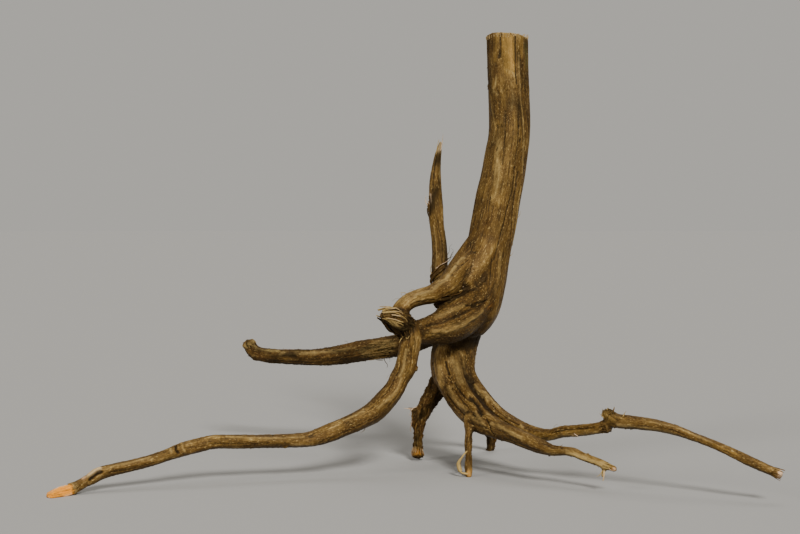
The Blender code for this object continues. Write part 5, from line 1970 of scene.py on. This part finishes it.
    def end_grain(self, tree: Tree) -> Socket:
        """The sawn end: yearly rings 2.4 mm apart round the pith, and drying cracks that run out from it.

        Args:
            tree: the material's tree.

        Returns:
            The colour.
        """
        pith = (Vector(SAW.place) + Vector(RECENTRE) + Vector((2.0, -1.0, 0.0))) * MM
        place = add_node(tree, "ShaderNodeTexCoord").outputs["Object"]
        offset = add_node(tree, "ShaderNodeVectorMath", {"operation": "SUBTRACT"}, {0: place, 1: pith})
        flat = add_node(
            tree, "ShaderNodeVectorMath", {"operation": "MULTIPLY"}, {0: offset, 1: (1.0, 1.0, 0.0)}
        )
        far = add_node(tree, "ShaderNodeVectorMath", {"operation": "LENGTH"}, {0: flat}).outputs["Value"]
        wander = add_node(tree, "ShaderNodeTexNoise", None, {"Vector": flat, "Scale": 90.0})
        way = add_node(tree, "ShaderNodeVectorMath", {"operation": "NORMALIZE"}, {0: flat})
        spokes = add_node(
            tree, "ShaderNodeTexNoise", None, {"Vector": way, "Scale": 7.0, "Detail": 2.0}
        )
        phase = add_node(
            tree, "ShaderNodeMath", {"operation": "MULTIPLY_ADD"}, {0: far, 1: math.tau / (2.4 * MM), 2: wander.outputs["Fac"]}
        )
        rings = add_node(tree, "ShaderNodeMath", {"operation": "SINE"}, {0: phase})
        wood = add_node(
            tree, "ShaderNodeValToRGB",
            {"stops": ((0.0, self.straw), (0.75, self.bare_wood), (1.0, self.light))}, {0: rings},
        ).outputs[0]  # fmt: skip
        check = add_node(
            tree, "ShaderNodeMapRange", None, {"Value": spokes.outputs["Fac"], 1: 0.36, 2: 0.42, 3: 0.9, 4: 0.0}
        )
        return add_node(
            tree, "ShaderNodeMix", {"data_type": "RGBA"},
            {0: check, 6: wood, 7: linear(self.dirt_and_painted_shade)},
        ).outputs[2]  # fmt: skip

    @staticmethod
    def roughness(
        tree: Tree, masks: dict[str, Socket], blotches: Socket,
        fibres: Socket
    ) -> Socket:
        """How dull the surface is: satin where rubbed, dull in bark, dirt and torn ends."""
        total: Socket | float = 0.42
        for part, weight in (
            (blotches, 0.16), (fibres, 0.14), (masks["polish"], -0.27), (masks["scurf"], 0.2),
            (masks["crackle"], 0.08), (masks["dark"], 0.25), (masks["raw"], 0.25), (masks["straw"], 0.05),
        ):  # fmt: skip
            total = add_node(
                tree, "ShaderNodeMath", {"operation": "MULTIPLY_ADD", "use_clamp": True},
                {0: part, 1: weight, 2: total},
            ).outputs[0]  # fmt: skip
        return total

    @staticmethod
    def bump(
        tree: Tree, masks: dict[str, Socket], fine: Socket,
        fibres: Socket, specks: Socket, net: Socket
    ) -> Socket:
        """The relief that is too fine for the mesh, in millimetres."""
        edge = add_node(tree, "ShaderNodeMapRange", None, {"Value": net, 1: 0.0, 2: 0.2, 3: -0.45, 4: 0.0})
        cracked = add_node(
            tree, "ShaderNodeMath", {"operation": "MULTIPLY"}, {0: edge, 1: masks["crackle"]}
        )
        rough = add_node(tree, "ShaderNodeMath", {"operation": "MULTIPLY"}, {0: specks, 1: masks["scurf"]})
        total: Socket | float = 0.0
        for part, weight in ((fine, 0.45), (fibres, 0.4), (cracked.outputs[0], 1.0), (rough.outputs[0], 1.2)):
            total = add_node(
                tree, "ShaderNodeMath", {"operation": "MULTIPLY_ADD"}, {0: part, 1: weight, 2: total}
            ).outputs[0]
        return add_node(
            tree, "ShaderNodeBump", None, {"Strength": 1.0, "Distance": MM, "Height": total}
        ).outputs[0]


@dataclass(frozen=True)
class Studio:
    """A plain pale floor under soft light, seen from where the photographer stood.

    Attributes:
        floor_size: side of the floor in metres.
        floor_colour: matt paper, a little darker than white so that the wood's light side shows.
        world_colour: what lies behind the floor and lights the root from all round.
        world_strength: how strongly it lights.
        backdrop_strength: how bright it looks, so that it runs on from the floor.
        camera_place: metres.
        camera_pitch: degrees below level.
        lens: millimetres, for a 36 mm wide picture.
    """

    floor_size: float = 30.0
    floor_colour: str = "#B0ADA7"
    world_colour: str = "#C8C5BE"
    world_strength: float = 0.3
    backdrop_strength: float = 0.8
    camera_place: tuple[float, float, float] = (-0.0106, -1.917, 0.314)
    camera_pitch: float = 2.302
    lens: float = 75.0

    def build(self) -> None:
        """Makes the floor, the lights and the camera."""
        self.floor()
        self.sky()
        self.lamp("key light", (0.5, -1.6, 1.15), 3.3, 14.0)
        self.lamp("side light", (-1.6, -1.15, 0.95), 0.9, 22.0)
        self.lamp("ceiling light", (0.2, 0.5, 1.6), 0.7, 40.0)
        self.camera()

    def floor(self) -> None:
        """The floor, which is no part of the root."""
        mesh = bmesh.new()
        bmesh.ops.create_grid(mesh, x_segments=1, y_segments=1, size=self.floor_size / 2)
        data = bpy.data.meshes.new("floor")
        mesh.to_mesh(data)
        mesh.free()
        floor = bpy.data.objects.new("floor", data)
        bpy.context.scene.collection.objects.link(floor)
        paper = bpy.data.materials.new("matt paper floor")
        paper.use_nodes = True
        shader = paper.node_tree.nodes["Principled BSDF"]
        shader.inputs["Base Color"].default_value = linear(self.floor_colour)
        shader.inputs["Roughness"].default_value = 0.9
        shader.inputs["Specular IOR Level"].default_value = 0.2
        data.materials.append(paper)

    def sky(self) -> None:
        """Even light from all round."""
        world = bpy.data.worlds.new("studio")
        world.use_nodes = True
        tree = world.node_tree
        background = tree.nodes["Background"]
        background.inputs["Color"].default_value = linear(self.world_colour)
        seen = add_node(tree, "ShaderNodeLightPath").outputs["Is Camera Ray"]
        strength = add_node(
            tree, "ShaderNodeMapRange", None,
            {"Value": seen, 1: 0.0, 2: 1.0, 3: self.world_strength, 4: self.backdrop_strength},
        )  # fmt: skip
        tree.links.new(strength.outputs[0], background.inputs["Strength"])
        bpy.context.scene.world = world

    @staticmethod
    def lamp(name: str, place: tuple[float, float, float], strength: float, spread: float) -> None:
        """A soft light from far off, which lights the whole floor evenly.

        Args:
            name: the light's name.
            place: the side that it comes from.
            strength: in watts a square metre.
            spread: how wide it looks from the root, in degrees.
        """
        data = bpy.data.lights.new(name, "SUN")
        data.energy = strength
        data.angle = math.radians(spread)
        lamp = bpy.data.objects.new(name, data)
        lamp.location = place
        lamp.rotation_euler = (-Vector(place)).to_track_quat("-Z", "Y").to_euler()
        bpy.context.scene.collection.objects.link(lamp)

    def camera(self) -> None:
        """The camera at the photograph's place and angle."""
        data = bpy.data.cameras.new("camera")
        data.lens = self.lens
        data.sensor_width = 36.0
        camera = bpy.data.objects.new("camera", data)
        camera.location = self.camera_place
        camera.rotation_euler = (math.radians(90.0 - self.camera_pitch), 0.0, 0.0)
        bpy.context.scene.collection.objects.link(camera)
        bpy.context.scene.camera = camera


def finish_piece(piece: bpy.types.Object, material: bpy.types.Material, stands_for: bool = False) -> None:
    """Dresses a piece, lets it ride with the root and reports it.

    Args:
        piece: the piece.
        material: its finish.
        stands_for: whether it stands for the solid.
    """
    piece.data.materials.clear()
    piece.data.materials.append(material)
    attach(piece, BODY)
    if stands_for:
        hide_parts(NODE)
    log.info("%s: %d faces", piece.name, len(piece.data.polygons))


def main() -> None:
    """Builds the studio and the root's pieces in order."""
    logging.basicConfig(level=logging.INFO, format="%(relativeCreated)6d ms, %(name)s: %(message)s")
    Studio().build()
    log.info("studio: floor, sky, three lights and the camera")
    finish = RootFinish().material()
    wood = RootWood().build()
    flakes = BarkFlakes("bark_scales", 3.9, 2.3, 0.45, 46_000.0, 0.16, 3).build(wood, finish)
    slivers = BarkFlakes("bark_slivers", 6.5, 0.6, 0.45, 16_000.0, 0.16, 4).build(wood, finish)
    finish_piece(wood, finish, stands_for=True)
    for piece in (LooseStrips().build(finish), flakes, slivers):
        finish_piece(piece, finish)


if __name__ == "__main__":
    main()
